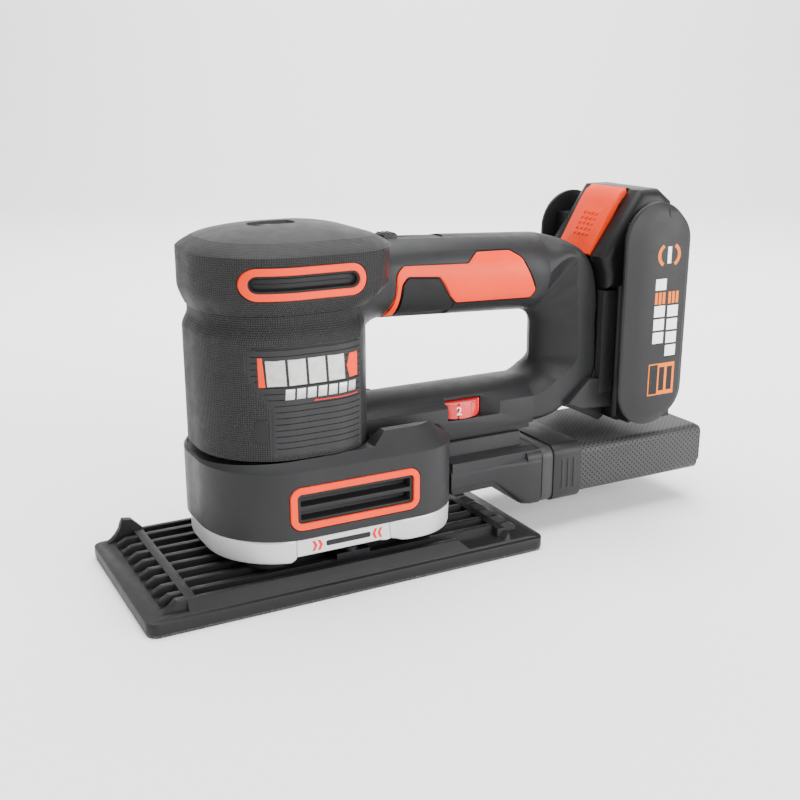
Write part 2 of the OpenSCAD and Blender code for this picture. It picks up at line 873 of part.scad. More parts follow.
module battery_dock() {
  color(black) difference() {
    union() {
      block([138, -dock_w, 64], [rail_x[0], dock_w, dock_top]);
      along_y(13.9)
        polygon([[124, 58], [134, 54.5], [148, 47.2], [151, 48.5], [rail_x[0], 66], [136, 72]]);
      block([rail_x[0] - 1, -rail_w[0], 68], [rail_x[1], rail_w[0], 112]);
      block([rail_x[1], -rail_w[1], 68], [rail_x[2], rail_w[1], 112]);
    }
    along_y(frame_w + 0.02) polygon(frame_outline);
    block([130, -40, 60], [141.3, -frame_w, 130]);
    block([130, frame_w, 60], [141.3, 40, 130]);
    block([144, -12, 92], [rail_x[2] + 1, 12, 120]);
  }
}

module terminal_block() {
  color([0.8, 0.65, 0.3]) {
    block([144.1, -11.9, 92.1], [151, 11.9, 108]);
    for (y = [-8, -3, 2, 7]) block([150.9, y, 94], [153.6, y + 1, 107]);
  }
}

module stadium(r) {
  for (z = cheek_z) translate([cheek_x, z]) circle(r);
  translate([cheek_x - r, cheek_z[0]]) square([2 * r, cheek_z[1] - cheek_z[0]]);
}

// Side plate of the pack, on a hollow neck: front x, low z, rear x and high z of the neck
module battery_cheek(side) {
  neck = [151.6, 50.2, 177.4, 147];
  neck_wall = 2;
  color(black) mirror([0, side < 0 ? 1 : 0, 0]) difference() {
    union() {
      translate([0, (cheek_y + pack_w) / 2, 0]) along_y((pack_w - cheek_y) / 2) stadium(cheek_r);
      block([neck[0], core_w + 0.01, neck[1]], [neck[2], cheek_y + 1, neck[3]]);
    }
    // room for the ends of the cells
    block([neck[0] + neck_wall, core_w - 1, neck[1] + neck_wall - 0.4],
          [neck[2] - neck_wall, cheek_y - 0.3, neck[3] - neck_wall]);
  }
}

module battery_cheek_left() {
  battery_cheek(-1);
}

module battery_cheek_right() {
  battery_cheek(1);
}

// Places children on the sloped front: local x runs up the slope, z points outwards
module on_slope() {
  translate([slope_at[0], 0, slope_at[1]]) rotate([0, -slope_angle, 0]) children();
}

module battery_shell() {
  color(black) difference() {
    along_y(core_w) polygon([
      [149.8, 50], [155, 47.5], [174, 47.5], [180, 52], [180, 156], [177, 160.4], [172, 162],
      [163, 162], [158.8, 161.4], [155.2, 159], [152.6, 155.4], slope_at,
      [141.8, 123], [142.3, 115.4], [149.8, 115.4]
    ]);
    // room for the cells and the board
    along_y(core_w + 1)
      polygon([[155.4, 51.5], [177.5, 51.5], [177.5, 143.4], [159.6, 143.4], [155.4, 136.1]]);
    // channel for the rails, open at the bottom
    block([140, -rail_w[0] - rail_gap, 40], [rail_x[1] + 0.1, rail_w[0] + rail_gap, 112.4]);
    block([rail_x[1] - rail_gap, -rail_w[1] - rail_gap, 40],
          [rail_x[2] + rail_gap, rail_w[1] + rail_gap, 112.4]);
    // recess for the release button
    along_y(button_w + 0.3) polygon([
      [134, 131.3], [143, 128.4], [157.4, 153.4], [163.2, 157.6], [160, 165], [145, 165]
    ]);
  }
}

module battery_cells() {
  color([0.2, 0.5, 0.7]) for (i = [0:4])
    translate([cell_x, 32.5, cell_z0 + i * cell_pitch]) rotate([90, 0, 0]) cylinder(h = 65, r = cell_r);
}

module battery_board() {
  color([0.1, 0.4, 0.2]) {
    block([174.6, -20, 60], [176.2, 20, 130]);
    block([176.1, -8, 90], [177.3, 8, 105]);
  }
}

module release_button() {
  color(orange) {
    along_y(button_w) polygon(button_outline);
    on_slope() for (i = [0:4], j = [-1.5:1:1.5])
      translate([10 + i * 2.8, j * 3.2, 0.8]) cylinder(h = 0.6, r = 0.9);
  }
}

// ---- dust extraction ----

module dust_duct() {
  side = [[54.6, 28], [77, 28.5], [93, 17], [103, 16], [103, 43], [54.6, 43]];
  inside = [[50, 30], [78, 30.5], [94, 20], [106, 20], [106, 39], [100, 41], [50, 41]];
  color(charcoal) difference() {
    union() {
      along_y(duct_w) polygon(side);
      sleeve_box(95, duct_end_x, 30, 16, 43, 4);
      along_y(frame_w) polygon([[54.6, 42], [98, 42], [98, 50], [54.6, 50]]);
      sleeve_box(51.5, 56, duct_w - 2, 30, 42, 2);
      sleeve_box(102, 116, spigot_w, 20, 39, 3);
    }
    along_y(duct_w - 4) polygon(inside);
    sleeve_box(94, 120, spigot_w - 2, 22, 37, 2);
  }
}

module collar_band() {
  color([0.42, 0.42, 0.43]) difference() {
    sleeve_box(collar_x[0], collar_x[1], 30.4, 15.8, 43.2, 5);
    sleeve_box(collar_x[0] - 1, collar_x[1] + 1, spigot_w + run_gap, 20 - run_gap, 39 + run_gap, 3);
  }
}

module dust_collar() {
  color(charcoal) difference() {
    union() {
      sleeve_box(collar_x[1], collar_x[2], 31, 15.3, 43.7, 5);
      sleeve_box(collar_x[2] - 1, 136, box_w - 2.25, 19.45, 38.55, 3);
      for (s = [-1, 1], i = [0:2]) translate([114 + i * 3.4, s * 31, 0])
        block([0, -0.4, 22], [1.1, 0.4, 37]);
    }
    sleeve_box(collar_x[1] - 1, 117, spigot_w + run_gap, 20 - run_gap, 39 + run_gap, 3);
    sleeve_box(116, 137, spigot_w - 0.5, 22, 36, 3);
  }
}

module filter_box() {
  color([0.3, 0.3, 0.31]) difference() {
    union() {
      sleeve_box(collar_x[2] + 0.05, box_end_x - 4, box_w, 17.2, 41, 4);
      sleeve_box(box_end_x - 5, box_end_x, box_w - 3, 19.2, 39, 3);
    }
    sleeve_box(collar_x[2] - 1, box_end_x - 3, box_w - 2.2, 19.4, 38.6, 3);
  }
}

housing_left();
housing_right();
rear_frame_left();
rear_frame_right();
grip_sleeve();
top_cap();
base_shroud();
upper_vent_frame_left();
upper_vent_frame_right();
lower_vent_frame_left();
lower_vent_frame_right();
lower_louvres();
handle_inlay_left();
handle_inlay_right();
grip_inserts();
clamp_ring();
lever_pin();
rubber_posts();
fan_deck();
motor_can();
field_magnets();
motor_end_cap();
upper_bearing();
lower_bearing();
brush_holders();
carbon_brushes();
switch_body();
speed_board();
dial_potentiometer();
battery_dock();
terminal_block();
dust_duct();
wiring_harness();
shell_screws();
motor_shaft();
armature();
commutator();
extraction_fan();
eccentric_hub();
counterweight();
drive_bearing();
plate_carrier();
base_plate();
sole_pad();
hook_face();
carrier_screws();
clamp_lever();
lock_slider();
speed_dial();
power_switch();
battery_shell();
battery_cheek_left();
battery_cheek_right();
battery_cells();
battery_board();
release_button();
dust_collar();
collar_band();
filter_box();
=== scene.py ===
import json
import math

import bmesh
import bpy
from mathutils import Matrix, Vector


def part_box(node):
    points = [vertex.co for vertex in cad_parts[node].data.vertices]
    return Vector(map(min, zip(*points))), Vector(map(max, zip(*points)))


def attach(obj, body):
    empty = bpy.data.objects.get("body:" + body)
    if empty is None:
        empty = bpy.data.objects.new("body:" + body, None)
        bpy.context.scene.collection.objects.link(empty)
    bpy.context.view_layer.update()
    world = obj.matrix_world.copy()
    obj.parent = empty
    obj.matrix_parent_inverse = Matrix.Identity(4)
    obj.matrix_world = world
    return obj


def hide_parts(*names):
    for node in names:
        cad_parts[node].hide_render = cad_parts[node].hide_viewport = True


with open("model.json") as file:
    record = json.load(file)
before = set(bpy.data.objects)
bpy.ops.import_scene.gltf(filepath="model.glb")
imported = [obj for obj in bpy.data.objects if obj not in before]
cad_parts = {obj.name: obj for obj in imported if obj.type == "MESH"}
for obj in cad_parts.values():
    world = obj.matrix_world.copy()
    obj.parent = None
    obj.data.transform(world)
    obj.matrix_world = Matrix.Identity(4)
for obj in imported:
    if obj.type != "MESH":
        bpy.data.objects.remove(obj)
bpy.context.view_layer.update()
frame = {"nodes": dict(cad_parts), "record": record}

MM = 0.001
SCENE = bpy.context.scene


# ---------------------------------------------------------------- mesh tools

def make(name, verts, faces, body, slot, replaces=(), mat=None, uvs=None, knurl=None, sharp=35):
    """A dressed piece from points in millimetres. knurl is the strength of a grip's dots at each point."""
    mesh = bpy.data.meshes.new(name)
    mesh.from_pydata([Vector(v) * MM for v in verts], [], faces)
    if knurl is not None:
        mesh.attributes.new("knurl", "FLOAT", "POINT").data.foreach_set("value", knurl)
    if uvs is not None:
        layer = mesh.uv_layers.new(name="surface")
        for loop in mesh.loops:
            layer.data[loop.index].uv = uvs[loop.vertex_index]
    return dress(placed(name, mesh), body, slot, replaces, mat, sharp)


def placed(name, data):
    """A new object in the scene, round a mesh, light or camera."""
    item = bpy.data.objects.new(name, data)
    SCENE.collection.objects.link(item)
    return item


def dress(piece, body, slot, replaces=(), mat=None, sharp=35):
    """Turns a mesh's faces outwards, shades it, gives it its material (the slot's unless mat is given), ties it
    to its body and hides the CAD nodes it replaces.
    """
    reshade(piece, sharp, True)
    piece.data.materials.clear()
    piece.data.materials.append(MATS[mat or slot])
    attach(piece, body)
    if replaces:
        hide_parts(*replaces)
    return piece


def reshade(piece, sharp, outwards=False):
    """Smooth shading, apart from edges that turn more than sharp degrees. outwards turns the faces out first."""
    bm = bmesh.new()
    bm.from_mesh(piece.data)
    if outwards:
        bmesh.ops.recalc_face_normals(bm, faces=bm.faces)
    for face in bm.faces:
        face.smooth = True
        face.material_index = 0
    for edge in bm.edges:
        if len(edge.link_faces) == 2:
            edge.smooth = edge.calc_face_angle(0) < math.radians(sharp)
    bm.to_mesh(piece.data)
    bm.free()
    return piece


def apply_modifiers(piece):
    """Bakes a piece's modifiers into its mesh."""
    graph = bpy.context.evaluated_depsgraph_get()
    baked = bpy.data.meshes.new_from_object(piece.evaluated_get(graph))
    old = piece.data
    piece.modifiers.clear()
    piece.data = baked
    baked.name = old.name
    bpy.data.meshes.remove(old)


def soften(piece, width, segments=2, angle=30):
    """Rounds the edges of a piece that turn more than angle degrees. Width is in millimetres."""
    bevel = piece.modifiers.new("bevel", "BEVEL")
    bevel.width = width * MM
    bevel.segments = segments
    bevel.limit_method = "ANGLE"
    bevel.angle_limit = math.radians(angle)
    bevel.use_clamp_overlap = True
    bevel.miter_outer = "MITER_ARC"
    apply_modifiers(piece)
    return reshade(piece, 40)


def cut(piece, cutter, operation="DIFFERENCE"):
    """Takes a cutter away from a piece, and deletes the cutter."""
    boolean = piece.modifiers.new("cut", "BOOLEAN")
    boolean.object = cutter
    boolean.operation = operation
    boolean.solver = "EXACT"
    apply_modifiers(piece)
    bpy.data.objects.remove(cutter)
    return piece


def solid(verts, faces):
    """A loose tool solid in millimetres, for cut()."""
    mesh = bpy.data.meshes.new("tool")
    mesh.from_pydata([Vector(v) * MM for v in verts], [], faces)
    bm = bmesh.new()
    bm.from_mesh(mesh)
    bmesh.ops.recalc_face_normals(bm, faces=bm.faces)
    bm.to_mesh(mesh)
    bm.free()
    return placed("tool", mesh)


def loft(rings, closed=True, cap=True):
    """Points and faces of a skin over rings of equal length. A closed ring joins its own ends."""
    count = len(rings[0])
    verts = [p for ring in rings for p in ring]
    faces = []
    for r in range(len(rings) - 1):
        for i in range(count if closed else count - 1):
            j = (i + 1) % count
            faces.append((r * count + i, r * count + j, (r + 1) * count + j, (r + 1) * count + i))
    if cap:
        faces.append(tuple(range(count))[::-1])
        faces.append(tuple(range((len(rings) - 1) * count, len(rings) * count)))
    return verts, faces


def sheet(rings):
    """Points and faces of a skin over rings, open at the first and the last."""
    return loft(rings, cap=False)


def looped(rings):
    """Points and faces of a skin over rings, the last of which joins the first."""
    verts, faces = loft(rings + rings[:1], cap=False)
    total = len(rings) * len(rings[0])
    return verts[:total], [tuple(i % total for i in f) for f in faces]


def rounded(points, radii, step=12):
    """A flat outline whose corners are arcs. radii is one radius for each point, or one for all."""
    out = []
    count = len(points)
    for i, p in enumerate(points):
        radius = radii[i] if isinstance(radii, (list, tuple)) else radii
        p = Vector(p)
        a = (Vector(points[i - 1]) - p)
        b = (Vector(points[(i + 1) % count]) - p)
        reach = min(a.length, b.length) * 0.49
        a.normalize()
        b.normalize()
        half = math.acos(max(-1, min(1, a.dot(b)))) / 2
        if radius <= 0 or half > math.radians(88):
            out.append(tuple(p))
            continue
        t = min(radius / math.tan(half), reach)
        r = t * math.tan(half)
        centre = p + (a + b).normalized() * (r / math.sin(half))
        start = p + a * t - centre
        end = p + b * t - centre
        turn = math.atan2(start.x * end.y - start.y * end.x, start.dot(end))
        steps = max(2, int(abs(math.degrees(turn)) / step))
        for k in range(steps + 1):
            c, s = math.cos(turn * k / steps), math.sin(turn * k / steps)
            out.append((centre.x + start.x * c - start.y * s, centre.y + start.x * s + start.y * c))
    return out


def filled(outline, step):
    """Points and triangles that fill a flat outline with a grid about step millimetres wide."""
    bm = bmesh.new()
    loop = [bm.verts.new((x, z, 0)) for x, z in outline]
    face = bm.faces.new(loop)
    bmesh.ops.triangulate(bm, faces=[face])
    low_x, high_x = min(p[0] for p in outline), max(p[0] for p in outline)
    low_z, high_z = min(p[1] for p in outline), max(p[1] for p in outline)
    for normal, low, high in (((1, 0, 0), low_x, high_x), ((0, 1, 0), low_z, high_z)):
        for k in range(1, int((high - low) / step)):
            at = Vector(normal) * (low + k * step)
            everything = bm.verts[:] + bm.edges[:] + bm.faces[:]
            bmesh.ops.bisect_plane(bm, geom=everything, plane_co=at, plane_no=normal)
    bm.verts.index_update()
    points = [(v.co.x, v.co.y) for v in bm.verts]
    triangles = [tuple(v.index for v in f.verts) for f in bm.faces]
    bm.free()
    return points, triangles


def weld(piece, distance=0.02):
    """Joins the points of a piece that coincide."""
    bm = bmesh.new()
    bm.from_mesh(piece.data)
    bmesh.ops.remove_doubles(bm, verts=bm.verts, dist=distance * MM)
    bmesh.ops.recalc_face_normals(bm, faces=bm.faces)
    bm.to_mesh(piece.data)
    bm.free()
    return piece


def round_box(box, r, inset=0.0, steps=9, along=1):
    """A rectangle with round corners, from box = (u0, v0, u1, v1), moved inwards by inset."""
    u0, v0, u1, v1 = box[0] + inset, box[1] + inset, box[2] - inset, box[3] - inset
    r = max(0.05, min(r - inset, (v1 - v0) / 2 - 0.02))
    corners = ((u1 - r, v1 - r, 0), (u0 + r, v1 - r, 1), (u0 + r, v0 + r, 2), (u1 - r, v0 + r, 3))
    out = []
    for u, v, quarter in corners:
        for k in range(steps + 1):
            t = (quarter + k / steps) * math.pi / 2
            out.append((u + r * math.cos(t), v + r * math.sin(t)))
        u_next, v_next, turn = corners[(quarter + 1) % 4]
        end = (u_next + r * math.cos(turn * math.pi / 2), v_next + r * math.sin(turn * math.pi / 2))
        start = out[-1]
        out += [mixed(start, end, k / along) for k in range(1, along)]
    return out


def shrink(outline, d):
    """An outline moved inwards by d, corner by corner."""
    area = sum(p[0] * q[1] - q[0] * p[1] for p, q in zip(outline, outline[1:] + outline[:1]))
    side = 1 if area > 0 else -1
    out = []
    count = len(outline)
    for i in range(count):
        p = Vector(outline[i])
        a = (p - Vector(outline[i - 1])).normalized()
        b = (Vector(outline[(i + 1) % count]) - p).normalized()
        na, nb = Vector((-a.y, a.x)) * side, Vector((-b.y, b.x)) * side
        n = (na + nb).normalized()
        out.append(tuple(p + n * (d / max(0.3, n.dot(na)))))
    return out


def on_axis(axis, outline, at):
    """Lifts a flat outline into space, at a place along x, y or z."""
    if axis == "x":
        return [(at, u, v) for u, v in outline]
    if axis == "y":
        return [(u, at, v) for u, v in outline]
    return [(u, v, at) for u, v in outline]


def slab(axis, outline, a, b, edge=0.0, steps=3):
    """An outline pulled along an axis from a to b, with edges rounded by edge millimetres."""
    if edge <= 0:
        return loft([on_axis(axis, outline, a), on_axis(axis, outline, b)])
    sign = 1 if b > a else -1
    turns = [k * math.pi / 2 / steps for k in range(steps + 1)]
    rings = [on_axis(axis, shrink(outline, edge * (1 - math.sin(t))), a + sign * edge * (1 - math.cos(t)))
             for t in turns]
    rings += [on_axis(axis, shrink(outline, edge * (1 - math.sin(t))), b - sign * edge * (1 - math.cos(t)))
              for t in reversed(turns)]
    return loft(rings)


def rectangle(u0, v0, u1, v1, lean=0.0):
    """A plain rectangle whose far side is moved by lean along u."""
    return [(u0, v0), (u1, v0), (u1 + lean, v1), (u0 + lean, v1)]


def cuboid(low, high):
    return slab("z", rectangle(low[0], low[1], high[0], high[1]), low[2], high[2])


def refined(node, body, mat, edge, segments=2):
    """A copy of a CAD node with its flat faces joined, its edges rounded and its shading smooth."""
    mesh = frame["nodes"][node].data.copy()
    piece = placed(node + "_skin", mesh)
    bm = bmesh.new()
    bm.from_mesh(mesh)
    bmesh.ops.remove_doubles(bm, verts=bm.verts, dist=2e-6)
    bmesh.ops.dissolve_limit(bm, angle_limit=math.radians(0.6), verts=bm.verts, edges=bm.edges)
    bm.to_mesh(mesh)
    bm.free()
    if mesh.has_custom_normals:
        mesh.attributes.remove(mesh.attributes["custom_normal"])
    dress(piece, body, SLOTS[node], (node,), mat)
    return soften(piece, edge, segments) if edge > 0 else piece


# ---------------------------------------------------------------- materials

class Nodes:
    """Short calls for building a material's node tree."""

    def __init__(self, name):
        self.mat = bpy.data.materials.new(name)
        self.mat.use_nodes = True
        self.tree = self.mat.node_tree
        self.tree.nodes.clear()
        self.out = self.add("ShaderNodeOutputMaterial")
        self.bsdf = self.add("ShaderNodeBsdfPrincipled")
        self.link(self.bsdf.outputs[0], self.out.inputs[0])
        self.coords = self.add("ShaderNodeTexCoord")

    def add(self, kind, **values):
        node = self.tree.nodes.new(kind)
        for key, value in values.items():
            setattr(node, key, value)
        return node

    def link(self, a, b):
        self.tree.links.new(a, b)

    def put(self, socket, value):
        if isinstance(value, bpy.types.NodeSocket):
            self.link(value, socket)
        else:
            socket.default_value = value

    def maths(self, kind, a, b=0.0, c=0.0):
        node = self.add("ShaderNodeMath", operation=kind)
        for socket, value in zip(node.inputs, (a, b, c)):
            self.put(socket, value)
        return node.outputs[0]

    def noise(self, size, detail=2.0, stretch=None):
        """Noise whose blobs are about size millimetres across."""
        node = self.add("ShaderNodeTexNoise")
        node.inputs["Scale"].default_value = 1.0 / (size * MM)
        node.inputs["Detail"].default_value = detail
        source = self.coords.outputs["Object"]
        if stretch:
            mapping = self.add("ShaderNodeMapping")
            mapping.inputs["Scale"].default_value = stretch
            self.link(source, mapping.inputs["Vector"])
            source = mapping.outputs[0]
        self.link(source, node.inputs["Vector"])
        return node.outputs["Fac"]

    def cells(self, size):
        node = self.add("ShaderNodeTexVoronoi")
        node.inputs["Scale"].default_value = 1.0 / (size * MM)
        self.link(self.coords.outputs["Object"], node.inputs["Vector"])
        return node.outputs["Distance"]

    def remap(self, value, low, high, to_low, to_high):
        node = self.add("ShaderNodeMapRange")
        for socket, v in zip(node.inputs, (value, low, high, to_low, to_high)):
            self.put(socket, v)
        return node.outputs[0]

    def mix(self, factor, a, b):
        node = self.add("ShaderNodeMix", data_type="RGBA")
        for socket, v in zip((node.inputs[0], node.inputs[6], node.inputs[7]), (factor, a, b)):
            self.put(socket, v)
        return node.outputs[2]

    def vary(self, size, low, high, detail=3):
        """A value that wanders between low and high in blobs of about size millimetres."""
        return self.remap(self.noise(size, detail), 0.3, 0.7, low, high)

    def drift(self, size, a, b):
        """A colour that wanders between a and b."""
        return self.mix(self.vary(size, 0.0, 1.0), a, b)

    def wave(self, value, pitch):
        return self.maths("COSINE", self.maths("MULTIPLY", value, 2 * math.pi / pitch))

    def choose(self, test, yes, no):
        """yes where test is 1 and no where it is 0."""
        return self.maths("ADD", self.maths("MULTIPLY", yes, test),
                          self.maths("MULTIPLY", no, self.maths("SUBTRACT", 1.0, test)))

    def split(self, coords):
        node = self.add("ShaderNodeSeparateXYZ")
        self.link(self.coords.outputs[coords], node.inputs[0])
        return node.outputs[:]

    def bump(self, height, depth, strength=1.0, onto=None):
        node = self.add("ShaderNodeBump")
        node.inputs["Distance"].default_value = depth * MM
        node.inputs["Strength"].default_value = strength
        self.link(height, node.inputs["Height"])
        if onto is not None:
            self.link(onto, node.inputs["Normal"])
        return node.outputs[0]

    def edges(self):
        """Near 1 on outer edges, where the painted edge highlight goes, and 0 elsewhere."""
        return self.remap(self.add("ShaderNodeNewGeometry").outputs["Pointiness"], 0.52, 0.62, 0.0, 1.0)

    def finish(self, color, rough, normal=None, metallic=0.0, specular=0.5, coat=0.0, sheen=0.0):
        self.put(self.bsdf.inputs["Base Color"], color)
        self.put(self.bsdf.inputs["Roughness"], rough)
        self.bsdf.inputs["Metallic"].default_value = metallic
        self.bsdf.inputs["Specular IOR Level"].default_value = specular
        self.bsdf.inputs["Coat Weight"].default_value = coat
        self.bsdf.inputs["Coat Roughness"].default_value = 0.25
        self.bsdf.inputs["Sheen Weight"].default_value = sheen
        if normal is not None:
            self.link(normal, self.bsdf.inputs["Normal"])
        return self.mat


def rgb(r, g, b):
    return (r, g, b, 1.0)


def scaled(color, k):
    return tuple(min(1.0, c * k) for c in color[:3]) + (1.0,)


def plastic(name, color, rough=0.45, grain=0.35, depth=0.03, specular=0.2, coat=0.0):
    """Moulded plastic: fine spark-eroded grain, faint flow marks, and a painted highlight that lightens the
    outer edges.
    """
    n = Nodes(name)
    base = n.drift(22, scaled(color, 0.93), scaled(color, 1.07))
    # Painted highlight: the colour is lightened towards 1.6 times on outer edges, where light would catch them.
    painted_edge_highlight = n.mix(n.maths("MULTIPLY", n.edges(), 0.35), base, scaled(color, 1.6))
    height = n.maths("ADD", n.noise(grain, 2), n.maths("MULTIPLY", n.cells(grain * 1.7), 0.5))
    return n.finish(painted_edge_highlight, n.vary(6, rough - 0.04, rough + 0.05), n.bump(height, depth, 0.6), specular=specular,
                    coat=coat)


def dotted(name, color, pitch_u, pitch_v, rough=0.55):
    """Soft grip with rows of fine raised dots, laid along the surface map, with a painted highlight on each dot
    and painted shade between them. The knurl attribute fades it.
    """
    n = Nodes(name)
    u, v, _ = n.split("UV")
    mask = n.add("ShaderNodeAttribute", attribute_name="knurl").outputs["Fac"]
    waves = [n.maths("MULTIPLY_ADD", n.wave(at, pitch), 0.5, 0.5) for at, pitch in ((u, pitch_u), (v, pitch_v))]
    dots = n.maths("MULTIPLY", n.maths("POWER", n.maths("MULTIPLY", *waves), 0.7), mask)
    painted_valley_shade = n.maths("MULTIPLY", n.maths("SUBTRACT", 1.0, dots), mask)
    base = n.drift(18, scaled(color, 0.94), scaled(color, 1.06))
    # Painted shade: the gaps between the dots are darkened towards a fifth of the colour.
    base = n.mix(n.maths("MULTIPLY", painted_valley_shade, 0.85), base, scaled(color, 0.2))
    # Painted highlight: the tops of the dots are lightened towards 2.2 times the colour.
    base = n.mix(n.maths("MULTIPLY", dots, 0.55), base, scaled(color, 2.2))
    fine = n.bump(n.noise(0.3, 2), 0.02, 0.5)
    return n.finish(base, n.vary(5, rough - 0.05, rough + 0.05), n.bump(dots, 0.3, 1.0, fine), specular=0.25)


def dimpled(name, color, pitch, row):
    """Fine filter shell: staggered dimples on every face, laid by the position on the part, with painted shade
    darkening each dimple.
    """
    n = Nodes(name)
    x, y, z = n.split("Object")
    facing_x, _, facing_z = (n.maths("ABSOLUTE", way) for way in n.split("Normal"))
    across = n.choose(n.maths("LESS_THAN", facing_z, 0.7), z, y)
    along = n.choose(n.maths("GREATER_THAN", facing_x, 0.7), y, x)
    pits = n.remap(n.maths("MULTIPLY", n.wave(along, pitch), n.wave(across, row * 1.4)), 0.25, 0.55, 0.0, 1.0)
    # Painted shade: each dimple is darkened towards 0.12 times the colour.
    base = n.mix(pits, n.drift(14, scaled(color, 0.93), scaled(color, 1.07)), scaled(color, 0.12))
    fine = n.bump(n.noise(0.4, 2), 0.02, 0.5)
    return n.finish(base, 0.5, n.bump(n.maths("SUBTRACT", 1.0, pits), 0.4, 0.9, fine), specular=0.3)


def metal(name, color, rough=0.3, brush=(1, 1, 30)):
    """Turned or brushed metal, with fine streaks and faint smudges."""
    n = Nodes(name)
    streak = n.noise(3, 4, brush)
    base = n.mix(n.remap(streak, 0.35, 0.65, 0, 1), scaled(color, 0.88), scaled(color, 1.05))
    return n.finish(base, n.vary(9, rough - 0.06, rough + 0.08), n.bump(streak, 0.02, 0.5), metallic=1.0)


def satin_paint(name, color):
    """Silver paint with fine metal flakes under a satin clear coat."""
    n = Nodes(name)
    flakes = n.remap(n.cells(0.25), 0.0, 0.6, 1.0, 0.0)
    base = n.mix(n.maths("MULTIPLY", flakes, 0.25), n.drift(15, scaled(color, 0.96), scaled(color, 1.04)),
                 scaled(color, 1.25))
    fine = n.bump(n.noise(0.4, 2), 0.015, 0.5)
    return n.finish(base, n.vary(8, 0.36, 0.46, 2), fine, metallic=0.35, coat=0.15)


def hook_loops(name, color):
    """Rough hook facing: short stiff tufts."""
    n = Nodes(name)
    tufts = n.cells(0.9)
    base = n.mix(n.remap(tufts, 0.0, 0.5, 0, 1), scaled(color, 1.5), scaled(color, 0.5))
    return n.finish(base, 0.9, n.bump(n.maths("ADD", tufts, n.noise(0.5, 3)), 0.6, 1.0), sheen=0.2)


def windings(name, color):
    """Enamelled copper wire, wound in fine turns."""
    n = Nodes(name)
    wave = n.add("ShaderNodeTexWave", bands_direction="Z")
    wave.inputs["Scale"].default_value = 1.0 / (1.2 * MM)
    wave.inputs["Distortion"].default_value = 0.6
    n.link(n.coords.outputs["Object"], wave.inputs["Vector"])
    base = n.mix(wave.outputs["Fac"], scaled(color, 0.6), scaled(color, 1.1))
    return n.finish(base, 0.35, n.bump(wave.outputs["Fac"], 0.2, 0.8), metallic=0.8)


def circuit(name, color):
    """Green board with copper tracks under the mask."""
    n = Nodes(name)
    tracks = n.add("ShaderNodeTexBrick")
    tracks.inputs["Scale"].default_value = 1.0 / (6 * MM)
    n.link(n.coords.outputs["Object"], tracks.inputs["Vector"])
    base = n.mix(tracks.outputs["Fac"], color, scaled(color, 2.2))
    return n.finish(base, 0.35, n.bump(tracks.outputs["Fac"], 0.05, 0.5))


PLAIN = (1, 1, 1)
MATS = {name: kind(name, *values) for name, kind, *values in (
    ("charcoal_plastic", plastic, rgb(0.0155, 0.0157, 0.0165), 0.44),
    ("soft_grip", dotted, rgb(0.0165, 0.0167, 0.0175), 0.98 * MM, 0.9 * MM),
    ("cap_plastic", plastic, rgb(0.019, 0.0192, 0.02), 0.5),
    ("louvre_plastic", plastic, rgb(0.012, 0.012, 0.0125), 0.45),
    ("black_plastic", plastic, rgb(0.008, 0.008, 0.0085), 0.4),
    ("plate_plastic", plastic, rgb(0.0095, 0.0095, 0.01), 0.48, 0.5, 0.04),
    ("orange_plastic", plastic, rgb(0.78, 0.036, 0.001), 0.42, 0.3, 0.02),
    ("silver_band", satin_paint, rgb(0.56, 0.56, 0.57)),
    ("red_dial", plastic, rgb(0.58, 0.004, 0.006), 0.22, 0.5, 0.01, 0.6, 0.3),
    ("white_mark", plastic, rgb(0.85, 0.85, 0.85), 0.35),
    ("grey_mark", metal, rgb(0.5, 0.49, 0.48), 0.45, PLAIN),
    ("amber_mark", plastic, rgb(0.62, 0.13, 0.0), 0.4),
    ("red_mark", plastic, rgb(0.58, 0.006, 0.006), 0.4),
    ("black_rubber", plastic, rgb(0.011, 0.011, 0.0112), 0.65, 0.6, 0.05),
    ("hook_fabric", hook_loops, rgb(0.05, 0.05, 0.05)),
    ("steel", metal, rgb(0.55, 0.56, 0.58)),
    ("aluminium", metal, rgb(0.62, 0.63, 0.64), 0.42, PLAIN),
    ("magnet", metal, rgb(0.12, 0.12, 0.13), 0.6, PLAIN),
    ("copper", windings, rgb(0.75, 0.33, 0.14)),
    ("brass", metal, rgb(0.72, 0.52, 0.22), 0.3),
    ("carbon", plastic, rgb(0.02, 0.02, 0.02), 0.8),
    ("circuit_board", circuit, rgb(0.01, 0.09, 0.03)),
    ("cell_wrap", plastic, rgb(0.03, 0.14, 0.32), 0.3, 2.0, 0.02),
    ("filter_mesh", dimpled, rgb(0.034, 0.034, 0.0355), 2.9 * MM, 1.9 * MM),
    ("grey_plastic", plastic, rgb(0.032, 0.032, 0.033), 0.45),
    ("wire_red", plastic, rgb(0.4, 0.02, 0.02), 0.5),
    ("dark_metal", metal, rgb(0.03, 0.03, 0.032), 0.5, PLAIN))}

SLOTS = {row["node"]: row["material_slot"] for row in frame["record"]["subparts"]}
UNDER_PLATE = ("plate_carrier", "carrier_screws", "counterweight")
for node_name, cad_object in frame["nodes"].items():
    cad_object.data.materials.clear()
    cad_object.data.materials.append(MATS["dark_metal" if node_name in UNDER_PLATE else SLOTS[node_name]])

# ---------------------------------------------------------------- plans of the housing
# Front x, rear x, half width, front corner radius, rear corner radius, as the CAD has them
BARREL = (-57.75, 16.5, 38.0, 34.0, 26.0)
HEAD = (-59.0, 27.0, 40.0, 36.0, 26.0)
SHROUD = (-59.0, 54.5, 42.5, 36.0, 24.0)
RING = (-57.5, 55.0, 41.5, 34.0, 24.0)
FRONT_STEPS, ARC_STEPS, SIDE_STEPS, REAR_STEPS = 4, 72, 18, 8


